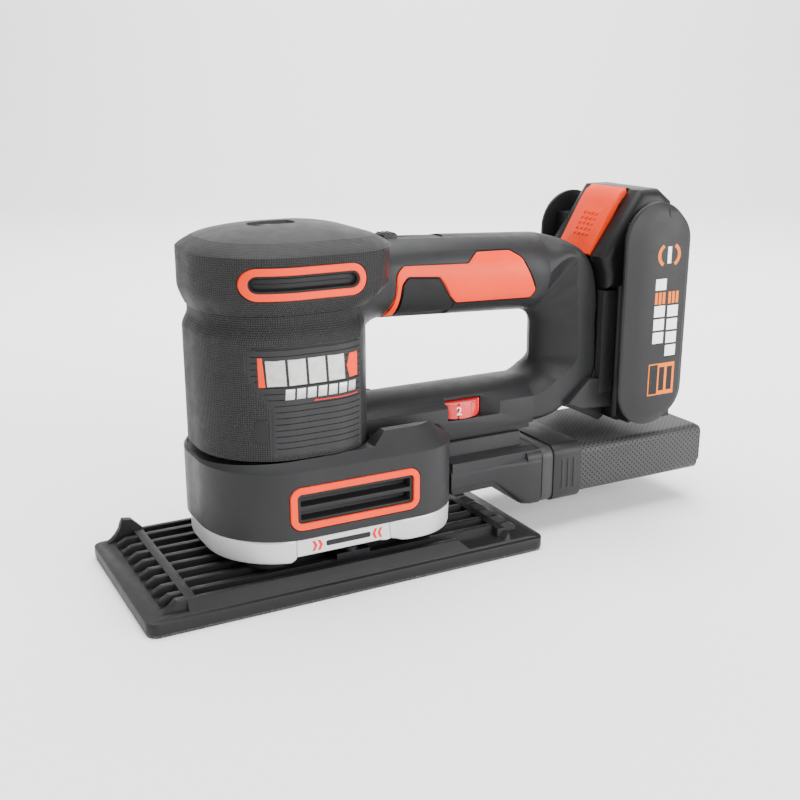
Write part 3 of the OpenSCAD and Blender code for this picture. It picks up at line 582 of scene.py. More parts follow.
def plan_half(plan, inset, side_steps=SIDE_STEPS, rear_arc=ARC_STEPS, stop=0.0):
    """Left half of a rounded plan, from the front's middle to the rear's. stop ends the rear arc early."""
    x0, x1, w, rf, rr = plan
    points = [(x0 + inset, -(w - rf) * k / FRONT_STEPS) for k in range(FRONT_STEPS)]
    for k in range(ARC_STEPS + 1):
        t = math.pi + k * math.pi / 2 / ARC_STEPS
        points.append((x0 + rf + (rf - inset) * math.cos(t), -(w - rf) + (rf - inset) * math.sin(t)))
    xa, xb = x0 + rf, x1 - rr
    points += [(xa + (xb - xa) * k / side_steps, -w + inset) for k in range(1, side_steps)]
    for k in range(rear_arc + 1):
        t = -math.pi / 2 + (math.pi / 2 - stop) * k / rear_arc
        points.append((x1 - rr + (rr - inset) * math.cos(t), -(w - rr) + (rr - inset) * math.sin(t)))
    if stop <= 0:
        points += [(x1 - inset, -(w - rr) * (1 - k / REAR_STEPS)) for k in range(1, REAR_STEPS + 1)]
    return points


def plan_ring(plan, inset):
    """Whole rounded plan as one closed outline."""
    left = plan_half(plan, inset)
    return left + [(x, -y) for x, y in reversed(left[1:-1])]


def side_of(plan, x, out=0.0):
    """Half width of a plan at x, moved outwards by out."""
    x0, x1, w, rf, rr = plan
    if x < x0 + rf:
        d, r, base = x0 + rf - x, rf + out, w - rf
    elif x > x1 - rr:
        d, r, base = x - (x1 - rr), rr + out, w - rr
    else:
        return w + out
    return base + math.sqrt(max(0.0, r * r - d * d))


def plan_point(plan, x, y, inset):
    """A point of a plan's outline moved inwards by inset."""
    x0, x1, w, rf, rr = plan
    if x < x0 + rf and abs(y) > w - rf:
        centre, r = (x0 + rf, math.copysign(w - rf, y)), rf
    elif x > x1 - rr and abs(y) > w - rr:
        centre, r = (x1 - rr, math.copysign(w - rr, y)), rr
    elif abs(y) >= w - 1e-6:
        return x, math.copysign(w - inset, y)
    else:
        return (x0 + inset if x < 0 else x1 - inset), y
    k = (r - inset) / r
    return centre[0] + (x - centre[0]) * k, centre[1] + (y - centre[1]) * k


def mixed(a, b, t):
    return tuple(p + (q - p) * t for p, q in zip(a, b))


def smooth(t):
    t = max(0.0, min(1.0, t))
    return t * t * (3 - 2 * t)


def lengths(points):
    """Distance run along a line of points, at each of them."""
    run = [0.0]
    for p, q in zip(points, points[1:]):
        run.append(run[-1] + math.dist(p, q))
    return run


# ---------------------------------------------------------------- skins that follow a wall
SIDES = ((-1, "left"), (1, "right"))
# Outer outlines of the orange vent rings as (x, z, x, z), and their corner radii
UPPER_VENT, VENT_R = (-46.5, 129.0, 5.5, 142.0), 6.5
LOWER_VENT, WINDOW_R = (-31.25, 32.0, 29.25, 51.0), 5.0


def trimmed_band(prism, plan, out):
    """The part of a prism outside a plan moved outwards by out: a cutter that follows the wall."""
    tool = solid(*prism)
    low = min(v[2] for v in prism[0]) - 2
    high = max(v[2] for v in prism[0]) + 2
    ring = plan_ring(plan, -out)
    return cut(tool, solid(*loft([on_axis("z", ring, low), on_axis("z", ring, high)])))


def wall_ring(plan, box, radius, profile, side, skin=looped):
    """A skin swept along an outline of x and z that follows a plan's wall. profile is (inset, height) pairs."""
    rings = []
    for inset, h in profile:
        outline = round_box(box, radius, inset, along=24)
        rings.append([(x, side * side_of(plan, x, h), z) for x, z in outline])
    return skin(rings)


def raised(width, height):
    """Profile of a ring that stands out of its groove, with soft edges."""
    return [(0.0, -1.2), (0.0, height - 0.3), (0.3, height), (width - 0.3, height), (width, height - 0.3),
            (width, -1.2)]


def patch(place, outline, profile):
    """A panel from a flat outline of x and z. profile is (inset, height) pairs from its foot to its face.
    place(x, z, height) puts a point on the wall."""
    verts, faces = loft([[place(x, z, h) for x, z in shrink(outline, inset)] for inset, h in profile], cap=False)
    for inset, height in (profile[-1], profile[0]):
        base = len(verts)
        points, triangles = filled(shrink(outline, inset), 2.0)
        verts += [place(x, z, height) for x, z in points]
        faces += [tuple(i + base for i in t) for t in triangles]
    return verts, faces


# ---------------------------------------------------------------- soft sleeve round barrel and head
SLEEVE_FOOT, WAIST, NECK, LEDGE, BELLY, HEAD_TOP = 62.05, 112.0, 119.0, 121.8, 131.0, 146.0
PANEL_TOP, PANEL_FOOT, GROOVE_PITCH = 109.8, 64.5, 2.6
SLEEVE_WALL = 1.7


def sleeve_profile(z):
    """Plan and inset of the sleeve's surface at a height: barrel, waist, then the head's round belly."""
    if z <= WAIST:
        return BARREL, 0.0
    if z <= LEDGE:
        return BARREL, 2.4 * smooth((z - WAIST) / (NECK - WAIST))
    if z <= BELLY:
        t = (z - LEDGE) / (BELLY - LEDGE)
        share = 0.45 * smooth(t) + 0.55 * math.sqrt(1 - (1 - t) ** 2)
        return mixed(BARREL, HEAD, share), 2.4 * (1 - share)
    return HEAD, 0.0


def parting_x(z):
    """Where the sleeve ends towards the rear: straight on the barrel, sweeping back over the head."""
    return 6.0 + 10.5 * smooth((z - 108) / 34)


def panel_left(z):
    """Front limit of the grooved panel, with its upper corner cut off."""
    if z > 107:
        return -44.5 + (z - 107)
    if z > 98:
        return -44.5
    if z > 84:
        return -44.5 + 8.5 * (98 - z) / 14
    return -36.0


def groove_depth(x, z):
    """How deep the grooved panel is cut at a point, in millimetres, and the strength of the dots there."""
    if not (PANEL_FOOT - 0.2 < z < PANEL_TOP + 0.2):
        return 0.0, 1.0
    into = x - panel_left(z)
    if into < -0.4:
        return 0.0, 1.0
    if into < 0.5 or z > PANEL_TOP - 0.5:
        return 0.35, 0.0
    phase = (z - PANEL_FOOT) % GROOVE_PITCH
    return (0.5 if phase < 0.27 and into > 1.7 else 0.0), 0.0


def sleeve_rows():
    rows = [SLEEVE_FOOT, 63.2]
    z = PANEL_FOOT
    while z < PANEL_TOP - 0.8:
        rows += [z + 0.01, z + 0.24, z + 0.3, z + GROOVE_PITCH - 0.06]
        z += GROOVE_PITCH
    rows = [z for z in rows if z < PANEL_TOP - 0.7] + [PANEL_TOP - 0.6, PANEL_TOP - 0.45, PANEL_TOP + 0.15,
                                                      PANEL_TOP + 0.25]
    rows += [WAIST - 0.4, WAIST, 113, 114, 115, 116, 117, 118, NECK, 120.4, LEDGE]
    rows += [LEDGE + (BELLY - LEDGE) * (k / 14) ** 1.6 for k in range(1, 15)]
    return rows + [132.5 + 1.7 * k for k in range(8)] + [HEAD_TOP - 0.3, HEAD_TOP]


def sleeve_ring(z, deeper):
    """One level of the sleeve as an open outline, from the right parting line round the front to the left."""
    plan, inset = sleeve_profile(z)
    xc, r = plan[1] - plan[4], plan[4] - inset
    stop = math.acos(max(-1.0, min(1.0, (parting_x(z) - xc) / r)))
    left = plan_half(plan, inset + deeper, rear_arc=24, stop=stop)
    return [(x, -y) for x, y in reversed(left[1:])] + left


def sleeve():
    rows = sleeve_rows()
    outer, uvs, knurl = [], [], []
    for z in rows:
        ring = sleeve_ring(z, 0.0)
        middle = len(ring) // 2
        run = lengths(ring)
        level = []
        for i, (x, y) in enumerate(ring):
            depth, dots = groove_depth(x, z)
            a, b = ring[max(0, i - 1)], ring[min(len(ring) - 1, i + 1)]
            tangent = Vector((b[0] - a[0], b[1] - a[1])).normalized()
            normal = Vector((-tangent.y, tangent.x))
            if min(i, len(ring) - 1 - i) in (1, 2):
                depth = -0.3
            level.append((x + normal.x * depth, y + normal.y * depth, z))
            uvs.append(((run[i] - run[middle]) * MM, z * MM))
            knurl.append(dots)
        outer.append(level)
    inner = [[(x, y, z) for x, y in sleeve_ring(z, SLEEVE_WALL)] for z in rows]
    count = len(outer[0])
    verts, faces = loft(outer, closed=False, cap=False)
    base = len(verts)
    inside, inner_faces = loft(inner, closed=False, cap=False)
    verts += inside
    faces += [tuple(i + base for i in f) for f in inner_faces]
    last = (len(rows) - 1) * count
    for i in range(count - 1):
        faces.append((i, i + 1, base + i + 1, base + i))
        faces.append((last + i, last + i + 1, base + last + i + 1, base + last + i))
    for r in range(len(rows) - 1):
        for i in (0, count - 1):
            a, b = r * count + i, (r + 1) * count + i
            faces.append((a, b, base + b, base + a))
    uvs += uvs
    knurl += [0.0] * base
    piece = make("grip_sleeve_skin", verts, faces, "housing", "soft_grip", ("grip_sleeve",), uvs=uvs,
                 knurl=knurl)
    for side, _ in SIDES:
        cut(piece, solid(*slab("y", round_box(UPPER_VENT, VENT_R, 3.2), side * 20, side * 48)))
        groove = slab("y", round_box(UPPER_VENT, VENT_R, -0.5), side * 20, side * 48)
        cut(piece, trimmed_band(groove, HEAD, -0.9))
    return reshade(piece, 45)


def barrel_marks():
    """Plain stand-ins on the barrel's sides: orange slivers, rows of grey blocks, a red stripe, a blank oval."""
    marks = [("sliver_front", "orange_plastic", [(-40.3, 93.6), (-37.9, 93.6), (-38.9, 105.8), (-40.5, 105.8)]),
             ("sliver_rear", "orange_plastic",
              [(-1.2, 94.0), (3.3, 94.0), (3.3, 104.2), (-1.2, 104.2), (-2.6, 99.2)]),
             ("stripe", "red_mark", [(-18.0, 86.1), (3.2, 86.1), (3.2, 86.9), (-17.4, 86.9)])]
    for name, count, pitch, box, lean in (("block", 4, 8.7, (-37.2, 93.8, -29.6, 104.6), -0.6),
                                          ("small_block", 7, 4.75, (-30.4, 87.9, -26.5, 92.3), 0.3)):
        for k in range(count):
            at = pitch * k
            marks.append((f"{name}_{k}", "grey_mark", rectangle(box[0] + at, box[1], box[2] + at, box[3], lean)))
    marks.append(("oval", "louvre_plastic", rounded(rectangle(-42.3, 69.6, -37.2, 80), 2.4)))
    profile = ((0.0, -1.0), (0.0, 0.132), (0.15, 0.22))
    for side, hand in SIDES:
        def on_barrel(x, z, height):
            return (x, side * side_of(BARREL, x, height), z)
        for name, mat, outline in marks:
            weld(make(f"barrel_{name}_{hand}", *patch(on_barrel, outline, profile), "housing", "soft_grip",
                      mat=mat, sharp=40))


def vents():
    """Orange rings of the four vents, and the dark troughs behind the upper ones."""
    trough = [(2.6, -0.2), (3.1, -0.2), (3.5, -0.5), (3.8, -0.5), (4.0, -1.2), (4.3, -2.3), (4.7, -2.7),
              (5.4, -2.7), (6.4, -2.7)]
    for side, hand in SIDES:
        for level, plan, box, radius, height in (("upper", HEAD, UPPER_VENT, VENT_R, 0.45),
                                                 ("lower", SHROUD, LOWER_VENT, WINDOW_R, 0.5)):
            ring = wall_ring(plan, box, radius, raised(3.0, height), side)
            make(f"{level}_vent_ring_{hand}", *ring, "housing", "orange_plastic",
                 (f"{level}_vent_frame_{hand}",))
        make(f"upper_vent_trough_{hand}", *wall_ring(HEAD, UPPER_VENT, VENT_R, trough, side, sheet), "housing",
             "charcoal_plastic", mat="louvre_plastic", sharp=25)


# ---------------------------------------------------------------- domed cap

def top_cap():
    """Bevelled band of soft grip round the top, and the hard dome inside its crisp ridge."""
    band = [(145.4, 0.8), (146.0, 0.0), (147.0, 1.2), (148.4, 3.4), (149.7, 5.8), (150.5, 7.6)]
    verts, faces = sheet([on_axis("z", plan_ring(HEAD, inset), z) for z, inset in band])
    uvs = [(run * MM, rise * MM) for rise in lengths(band) for run in lengths(plan_ring(HEAD, 0.0))]
    make("cap_band", verts, faces, "housing", "soft_grip", ("top_cap",), uvs=uvs, knurl=[0.55] * len(verts),
         sharp=20)
    rim = plan_ring(HEAD, 7.5)
    middle = (HEAD[0] + HEAD[1]) / 2
    rings = [on_axis("z", rim, 148.5), on_axis("z", rim, 150.5)]
    for k in range(1, 14):
        t = 1 - k / 14
        rings.append([(middle + (x - middle) * t, y * t, 155.0 - 4.35 * t ** 2.3) for x, y in rim])
    piece = make("top_cap_skin", *loft(rings), "housing", "charcoal_plastic", mat="cap_plastic", sharp=30)
    crown = rounded([(-29, -6.5), (-10, -6.5), (-8, 0), (-10, 6.5), (-29, 6.5), (-32, 0)], 2)
    floor = [((x + 20) * 0.78 - 20, y * 0.7) for x, y in crown]
    cut(piece, solid(*loft([on_axis("z", floor, 152.2), on_axis("z", crown, 156)])))
    return reshade(piece, 30)


def crown_mark():
    """Plain raised chevron in the crown's recess."""
    outline = rounded([(-27, -3.6), (-20, -3.6), (-13, 0), (-20, 3.6), (-27, 3.6), (-22, 0)], 0.6)
    make("crown_key", *slab("z", outline, 151.8, 153.9, 0.5), "housing", "black_plastic")


# ---------------------------------------------------------------- fan shroud with its hump

def base_shroud():
    """Skirt with a sloping shoulder. Over the fan outlet the shoulder runs on up to a flat-topped hump."""
    edge, shoulder, hump = 57.7, 62, 66.9
    levels = [(27.6, 0.5), (28.1, 0.0), (edge - 0.2, 0.0), (edge + 0.15, 0.2), (71.0, 12.8)]
    piece = make("base_shroud_skin", *loft([on_axis("z", plan_ring(SHROUD, inset), z) for z, inset in levels]),
                 "housing", "charcoal_plastic", ("base_shroud",))
    side_view = [(-62, 20), (58, 20), (58, hump), (16.6, hump), (9.5, shoulder), (-62, shoulder)]
    cut(piece, solid(*slab("y", side_view, -60, 60)), "INTERSECT")
    for side, _ in SIDES:
        gap = rectangle(8, side * 29.6, 60, side * (BRIDGE_HALF - 0.1))
        cut(piece, solid(*slab("z", gap, 60.5, 75)))
    cut(piece, solid(*slab("z", plan_ring(BARREL, -0.6), 58.5, 90)))
    cut(piece, solid(*slab("z", plan_ring(SHROUD, 2.6), 20, 56)))
    for side, _ in SIDES:
        cut(piece, solid(*slab("y", round_box(LOWER_VENT, WINDOW_R, 3.0), side * 34, side * 48)))
        channel = slab("y", round_box(LOWER_VENT, WINDOW_R, -0.4), side * 34, side * 48)
        cut(piece, trimmed_band(channel, SHROUD, -0.8))
    return reshade(piece, 20)


def louvres():
    """Dark inserts with two long slots each, set back in the lower windows."""
    x0, x1 = LOWER_VENT[0] + 4.4, LOWER_VENT[2] - 4.4
    window = round_box(LOWER_VENT, WINDOW_R, 3.05)
    for side, hand in SIDES:
        piece = make(f"louvre_{hand}", *slab("y", window, side * 36.0, side * 41.9), "housing", "black_plastic",
                     ("lower_louvres",) if side < 0 else (), "louvre_plastic")
        for low in (36.3, 42.3):
            slot = round_box((x0, low, x1, low + 4.3), 0.7)
            back = round_box((x0, low, x1, low + 4.3), 0.7, 0.6)
            cut(piece, solid(*loft([on_axis("y", back, side * 37), on_axis("y", slot, side * 42.4)])))
        soften(piece, 0.25)


# ---------------------------------------------------------------- silver clamp ring

# Front and rear end of the lever's bar, its face, and the axis it swings about
LEVER_BAR, LEVER_FACE, LEVER_AXIS = (-28.3, 13.9), -40.6, (14.0, -36.0)


def ring_level(x, low, high):
    """Blends from the deep feet to the raised middle of the ring along x."""
    if x < -31 or x > 23:
        return low
    if x < -27:
        return low + (high - low) * (x + 31) / 4
    if x > 17:
        return low + (high - low) * (23 - x) / 6
    return high


def lever_hub(r):
    return [(LEVER_AXIS[0] + r * math.cos(math.tau * k / 40), LEVER_AXIS[1] + r * math.sin(math.tau * k / 40))
            for k in range(40)]


def lever_hub(r):
    return [(LEVER_AXIS[0] + r * math.cos(math.tau * k / 40), LEVER_AXIS[1] + r * math.sin(math.tau * k / 40))
            for k in range(40)]


def clamp_ring():
    """Ring under the shroud, with two deep feet and the seat of the lever between them."""
    top, outer = 27.5, []
    for share, extra in ((0.0, 1.2), (0.05, 0.6), (0.16, 0.25), (0.9, 0.0), (1.0, 0.5)):
        ring = []
        for x, y in plan_ring(RING, 0):
            foot = ring_level(x, 16.95, 19.0)
            flat = ring_level(x, 0.0, 0.9) if abs(y) > 34 else 0.0
            ring.append((*plan_point(RING, x, y, 0.1 + extra + flat), foot + (top - foot) * share))
        outer.append(ring)
    inner = [[(*plan_point(RING, x, y, 4.2), z) for x, y in plan_ring(RING, 0)] for z in (top, 18.0)]
    piece = make("clamp_ring_skin", *looped(outer + inner), "housing", "silver_band", ("clamp_ring",), sharp=18)
    cut(piece, solid(*cuboid((LEVER_BAR[0] - 0.2, -50, 12), (LEVER_BAR[1] + 0.15, -30, 40))))
    cut(piece, solid(*slab("z", lever_hub(4.75), 12, 40)))
    return reshade(piece, 18)


def clamp_lever():
    """Flush lever let into the ring, with plain marks: two pairs of red chevrons and a dark bar between them."""
    (x0, x1), face = LEVER_BAR, LEVER_FACE
    section = [(face, 19.9), (face, 26.9), (face + 0.5, 27.4), (-37.9, 27.4), (-37.9, 19.1), (face + 1.1, 19.1)]
    lever = make("lever_bar", *slab("x", section, x0, x1), "lever", "silver_band", ("clamp_lever",), sharp=18)
    cut(lever, solid(*slab("z", lever_hub(4.5), 19.2, 27.3)), "UNION")
    reshade(lever, 18)
    low, middle, high, stroke = 21.0, 23.3, 25.6, 1.3
    for at in (-21.5, -19.0, 8.0, 10.5):
        tip = 1.1 if at < 0 else -1.1
        mark = [(at, low), (at + stroke, low), (at + stroke + tip, middle), (at + stroke, high), (at, high),
                (at + tip, middle)]
        make(f"lever_mark_{int(at + 30)}", *slab("y", mark, face + 0.3, face - 0.1), "lever", "silver_band",
             mat="red_mark")
    bar = round_box((-15.0, 22.2, 6.0, 24.6), 0.8)
    make("lever_label", *slab("y", bar, face + 0.3, face - 0.1), "lever", "silver_band", mat="louvre_plastic")


# ---------------------------------------------------------------- handle, root and rear of the head
HANDLE_X, HANDLE_Z, HANDLE_FALL, HANDLE_R, HANDLE_END = 10.0, 128.7, math.radians(2.5), 18.4, 112.5
ROOT_END = 27.4


def handle_point(s, angle, r):
    """A point of the handle's tube: s along the axis, angle from straight up towards the left side."""
    c, t = math.cos(HANDLE_FALL), math.sin(HANDLE_FALL)
    up = r * math.cos(angle)
    return (HANDLE_X + s * c + up * t, -r * math.sin(angle), HANDLE_Z - s * t + up * c)


def handle_length(x):
    return (x - HANDLE_X) / math.cos(HANDLE_FALL)


def tube(s_list, radii, top=None, count=72, flare=None):
    """Rings round the handle's axis. flare adds to the radius by angle and place."""
    rings = []
    for s, r in zip(s_list, radii):
        ring = []
        for k in range(count):
            angle = 2 * math.pi * k / count
            ring.append(handle_point(s, angle, r + (flare(s, angle) if flare else 0.0)))
        rings.append([(x, y, min(z, top) if top else z) for x, y, z in ring])
    return loft(rings)


def root_flare(s, angle):
    """Extra radius of the handle's root: slight at the sides, full underneath."""
    fade = max(0.0, 1 - s / 19) ** 2
    return (5.0 + 15.0 * max(0.0, -math.cos(angle)) ** 1.5) * fade


def housing_back():
    """Bare plastic behind the sleeve: rear of barrel and head, and the root of the handle, blended."""
    rings = []
    for z in (60, WAIST, 114, 116, NECK, LEDGE, 122.2, 123, 124.5, 127, BELLY, HEAD_TOP - 0.1):
        plan, inset = sleeve_profile(z)
        rings.append(on_axis("z", plan_ring(plan, inset + 0.7), z))
    body = solid(*loft(rings))
    cut(body, solid(*cuboid((-70, -60, 50), (-14, 60, 160))))
    s_list = [0, 2, 4, 6, 8, 10, 12, 14, 16, 18, 20, 26]
    root = solid(*tube(s_list, [HANDLE_R] * len(s_list), top=HEAD_TOP + 0.1, flare=root_flare))
    cut(body, root, "UNION")
    remesh = body.modifiers.new("remesh", "REMESH")
    remesh.mode = "VOXEL"
    remesh.voxel_size = 0.7 * MM
    apply_modifiers(body)
    group = body.vertex_groups.new(name="blend")
    for v in body.data.vertices:
        x, y, z = v.co / MM
        near_root = smooth((x - 8) / 6) * smooth((27 - x) / 3) * smooth((z - 98) / 6)
        group.add([v.index], max(0.15, near_root), "REPLACE")
    relax = body.modifiers.new("relax", "SMOOTH")
    relax.vertex_group = "blend"
    relax.factor = 0.6
    relax.iterations = 24
    apply_modifiers(body)
    cut(body, solid(*cuboid((ROOT_END, -60, 90), (60, 60, 170))))
    for side, _ in SIDES:
        cut(body, solid(*slab("y", round_box(UPPER_VENT, VENT_R, 2.4), side * 20, side * 48)))
    body.name = "housing_back"
    return dress(body, "housing", "charcoal_plastic", ("housing_left", "housing_right"), sharp=40)


# Outlines of the orange panel and of the dark pad in front of it, as x and z, before they are cut at TRIM_FOOT
INLAY = rounded([(28.6, 108), (28.6, 111.6), (30.9, 121), (30.9, 131.2), (34.9, 134.4), (68, 133.1),
                 (73.7, 137.6), (91.4, 137.2), (97.3, 133.6), (104.9, 118.1), (103, 114.4), (62.8, 115.6),
                 (59, 118.9), (52.5, 128.6), (36.3, 129.9), (33.4, 126.6), (33.2, 108)],
                [0, 0, 6, 5, 2, 3, 3, 4, 5, 2.5, 2, 2, 3, 2, 2.5, 4, 0])
INSERT = rounded([(33.9, 108), (34.1, 126.2), (36.7, 129.1), (52.0, 127.9), (58.4, 118.4), (61.8, 115),
                  (61.8, 108)], [0, 3, 2, 2, 3, 2, 0])
TRIM_FOOT = 111.6


def handle_shell():
    """The handle's tube, with the channels round its inlays and the recess of the slide switch."""
    start, end = handle_length(ROOT_END - 0.2), handle_length(HANDLE_END - 0.25)
    s_list = [start, start + 0.01, end - 0.4, end - 0.1, end]
    radii = [HANDLE_R - 2, HANDLE_R, HANDLE_R, HANDLE_R - 0.15, HANDLE_R - 0.6]
    piece = make("handle_shell", *tube(s_list, radii, count=120), "housing", "charcoal_plastic", sharp=30)
    for side, _ in SIDES:
        for outline, gap, depth in ((INLAY, 0.55, 0.9), (INSERT, 0.35, 1.2)):
            channel = solid(*slab("y", shrink(outline, -gap), side * 5, side * 22))
            core = solid(*tube([start - 8, end + 2], [HANDLE_R - depth] * 2, count=120))
            cut(piece, cut(channel, core))
    slot = rounded(rectangle(29, -6, 62, 6), 3)
    cut(piece, solid(*slab("z", slot, 144.0, 150)))
    return soften(piece, 0.3, 2, 35)


def wrap(x, z, height, side):
    """A point given by x and z, put on the handle's tube and lifted by height."""
    s = handle_length(x)
    axis_z = HANDLE_Z - s * math.sin(HANDLE_FALL)
    up = max(-0.999, min(0.999, (z - axis_z) / HANDLE_R))
    r = HANDLE_R + height
    return (x, side * r * math.sqrt(1 - up * up), axis_z + r * up)


def clipped(outline, low):
    """An outline with nothing below a height."""
    out = []
    for p, q in zip(outline, outline[1:] + outline[:1]):
        if p[1] >= low:
            out.append(p)
        if (p[1] - low) * (q[1] - low) < 0:
            t = (low - p[1]) / (q[1] - p[1])
            out.append((p[0] + (q[0] - p[0]) * t, low))
    return out


def handle_trim():
    """Orange panels and dark pads, bent round the handle, with soft edges."""
    for side, hand in SIDES:
        def on_handle(x, z, height):
            return wrap(x, z, height, side)
        for name, outline, out, slot, mat, replaced in (
                ("handle_panel", INLAY, 0.35, "orange_plastic", "orange_plastic", f"handle_inlay_{hand}"),
                ("grip_pad", INSERT, 0.1, "soft_grip", "black_rubber", "grip_inserts" if side < 0 else None)):
            profile = ((0.0, -1.5), (0.0, out - 0.35), (0.12, out - 0.12), (0.4, out))
            panel = patch(on_handle, clipped(outline, TRIM_FOOT), profile)
            weld(make(f"{name}_{hand}", *panel, "housing", slot, (replaced,) if replaced else (), mat, sharp=50))


# ---------------------------------------------------------------- rear frame

def along_table(table, at):
    """Straight-line interpolation in a table of (place, value) pairs sorted by place."""
    if at <= table[0][0]:
        return table[0][1]
    for (a, u), (b, v) in zip(table, table[1:]):
        if at <= b:
            return u + (v - u) * (at - a) / (b - a)
    return table[-1][1]


# Front of the frame's bar in plan: share of the way back to the crease, half width there
BLUNT = [(0.0, 0.0), (0.04, 2.4), (0.12, 4.8), (0.24, 7.4), (0.43, 10.4), (0.62, 13.1), (0.81, 15.6),
         (1.0, 18.0)]
FRAME_HALF, REAR_ROUND = 18.0, 3.5
# Round corner of the grip opening at the top, then the one at the bottom: centre x, z and radius
TOP_CORNER, LOW_CORNER = (105.5, 97.4, 8.5), (105.3, 83.2, 8.7)
# Distance of the crease and of the rear face from those centres, by the ray's angle in degrees
TOP_CREASE = [(0, 24.4), (12, 24.7), (28, 26.7), (44, 31.8), (57, 40.6), (68, 43.0), (90, 43.2)]
TOP_REAR = [(0, 36.3), (6, 36.5), (22, 38.8), (35, 42.0), (43, 43.9), (51, 45.3), (61, 45.9), (69, 46.2),
            (80, 45.8), (90, 45.3)]
LOW_CREASE = [(-90, 16.7), (-60, 16.3), (-37, 16.8), (-20, 20.5), (-8, 24.1), (0, 25.3)]
LOW_REAR = [(-90, 29.7), (-74, 30.3), (-48, 31.6), (-24, 37.2), (-11, 38.0), (0, 37.3)]
# The same two distances at the top and the foot of the straight shank between the corners
SHANK = (24.4, 36.3), (25.1, 37.1)


def frame_section(depth, crease, rounding, arched):
    """Half of a section as (distance, half width) pairs, blended from a round tube or to the arch."""
    bullet = [(share * crease, half) for share, half in BLUNT]
    bullet += [(crease + (depth - REAR_ROUND - crease) * k / 6, FRAME_HALF) for k in range(1, 7)]
    for k in range(1, 6):
        t = k * math.pi / 10
        bullet.append((depth - REAR_ROUND * (1 - math.sin(t)), FRAME_HALF - REAR_ROUND * (1 - math.cos(t))))
    bullet += [(depth, (FRAME_HALF - REAR_ROUND) * (1 - k / 3)) for k in range(1, 4)]
    r = depth / 2
    angles = [math.pi / 2 * k / 7 for k in range(8)] + [math.pi / 2 + 1.15 * k / 6 for k in range(1, 7)]
    angles += [math.pi / 2 + 1.15 + (math.pi / 2 - 1.15) * k / 8 for k in range(1, 9)]
    circle = [(r * (1 - math.cos(t)), HANDLE_R * math.sin(t) * 0.99) for t in angles]
    out = [mixed(b, c, rounding) for b, c in zip(bullet, circle)]
    for i, (_, half) in enumerate(BLUNT):
        dome = BRIDGE_R - math.sqrt(BRIDGE_R ** 2 - half ** 2)
        out[i] = mixed(out[i], (dome / 8.0 * crease, half), arched)
    return out


def rear_frame():
    """D-shaped frame from the handle's end down to the bridge, with its crease on both sides."""
    stations = [(TOP_CORNER, 88 - 88 * k / 30, 0.0) for k in range(31)]
    drop = TOP_CORNER[1] - LOW_CORNER[1]
    stations += [(TOP_CORNER, 0.0, drop * k / 5) for k in range(1, 5)]
    stations += [(LOW_CORNER, -90 * k / 30, 0.0) for k in range(31)]
    rings = []
    for (cx, cz, r), angle, fall in stations:
        if fall > 0:
            crease, rear = mixed(*SHANK, fall / drop)
        elif cz == TOP_CORNER[1]:
            crease, rear = along_table(TOP_CREASE, angle), along_table(TOP_REAR, angle)
        else:
            crease, rear = along_table(LOW_CREASE, angle), along_table(LOW_REAR, angle)
        way = Vector((math.cos(math.radians(angle)), math.sin(math.radians(angle))))
        start = Vector((cx, cz - fall)) + way * r
        rounding = smooth((angle - 55) / 27)
        arched = smooth((-angle - 10) / 60)
        half = frame_section(rear - r, crease - r, rounding, arched)
        left = [(start.x + way.x * d, -w, start.y + way.y * d) for d, w in half]
        rings.append(left + [(x, -y, z) for x, y, z in reversed(left[1:-1])])
    make("rear_frame", *loft(rings), "housing", "charcoal_plastic", ("rear_frame_left", "rear_frame_right"),
         sharp=17)


# ---------------------------------------------------------------- bridge and dial
BRIDGE_FOOT, BRIDGE_HALF, BRIDGE_CENTRE, BRIDGE_R, BRIDGE_END = 53.5, 18.0, 50.25, 24.25, 105.3


def arch_outline():
    """Section of the bridge: upright sides with an arc over them."""
    start = math.acos(BRIDGE_HALF / BRIDGE_R)
    turns = [start + (math.pi - 2 * start) * k / 28 for k in range(29)]
    arc = [(-BRIDGE_R * math.cos(t), BRIDGE_CENTRE + BRIDGE_R * math.sin(t)) for t in turns]
    return [(BRIDGE_HALF, BRIDGE_FOOT), (-BRIDGE_HALF, BRIDGE_FOOT)] + arc


def dial_size():
    """Centre x and y, radius, foot and top of the dial, in millimetres."""
    low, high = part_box("speed_dial")
    centre = (low.x + high.x) / 2 / MM, (low.y + high.y) / 2 / MM
    return *centre, (high.x - low.x) / 2 / MM, low.z / MM, high.z / MM


def bridge():
    piece = make("bridge", *slab("x", arch_outline(), 4, BRIDGE_END), "housing", "charcoal_plastic", sharp=30)
    cx, cy, r, z0, z1 = dial_size()
    r, z0, z1 = r + 0.4, z0 - 0.5, z1 + 0.4
    circle = [(cx + r * math.cos(math.tau * k / 64), cy + r * math.sin(math.tau * k / 64)) for k in range(64)]
    cut(piece, solid(*slab("z", circle, z0, z1)))
    window = [(57.8, -13.4), (57.8, -30), (86, -30), (86, -17.9), (76.5, -13.4)]
    cut(piece, solid(*slab("z", window, z0, 71.8)))
    keel = rectangle(-15, 50.1, 15, 54)
    make("bridge_keel", *slab("x", keel, 55, BRIDGE_END, 0.5), "housing", "charcoal_plastic")
    return soften(piece, 0.45, 2, 35)


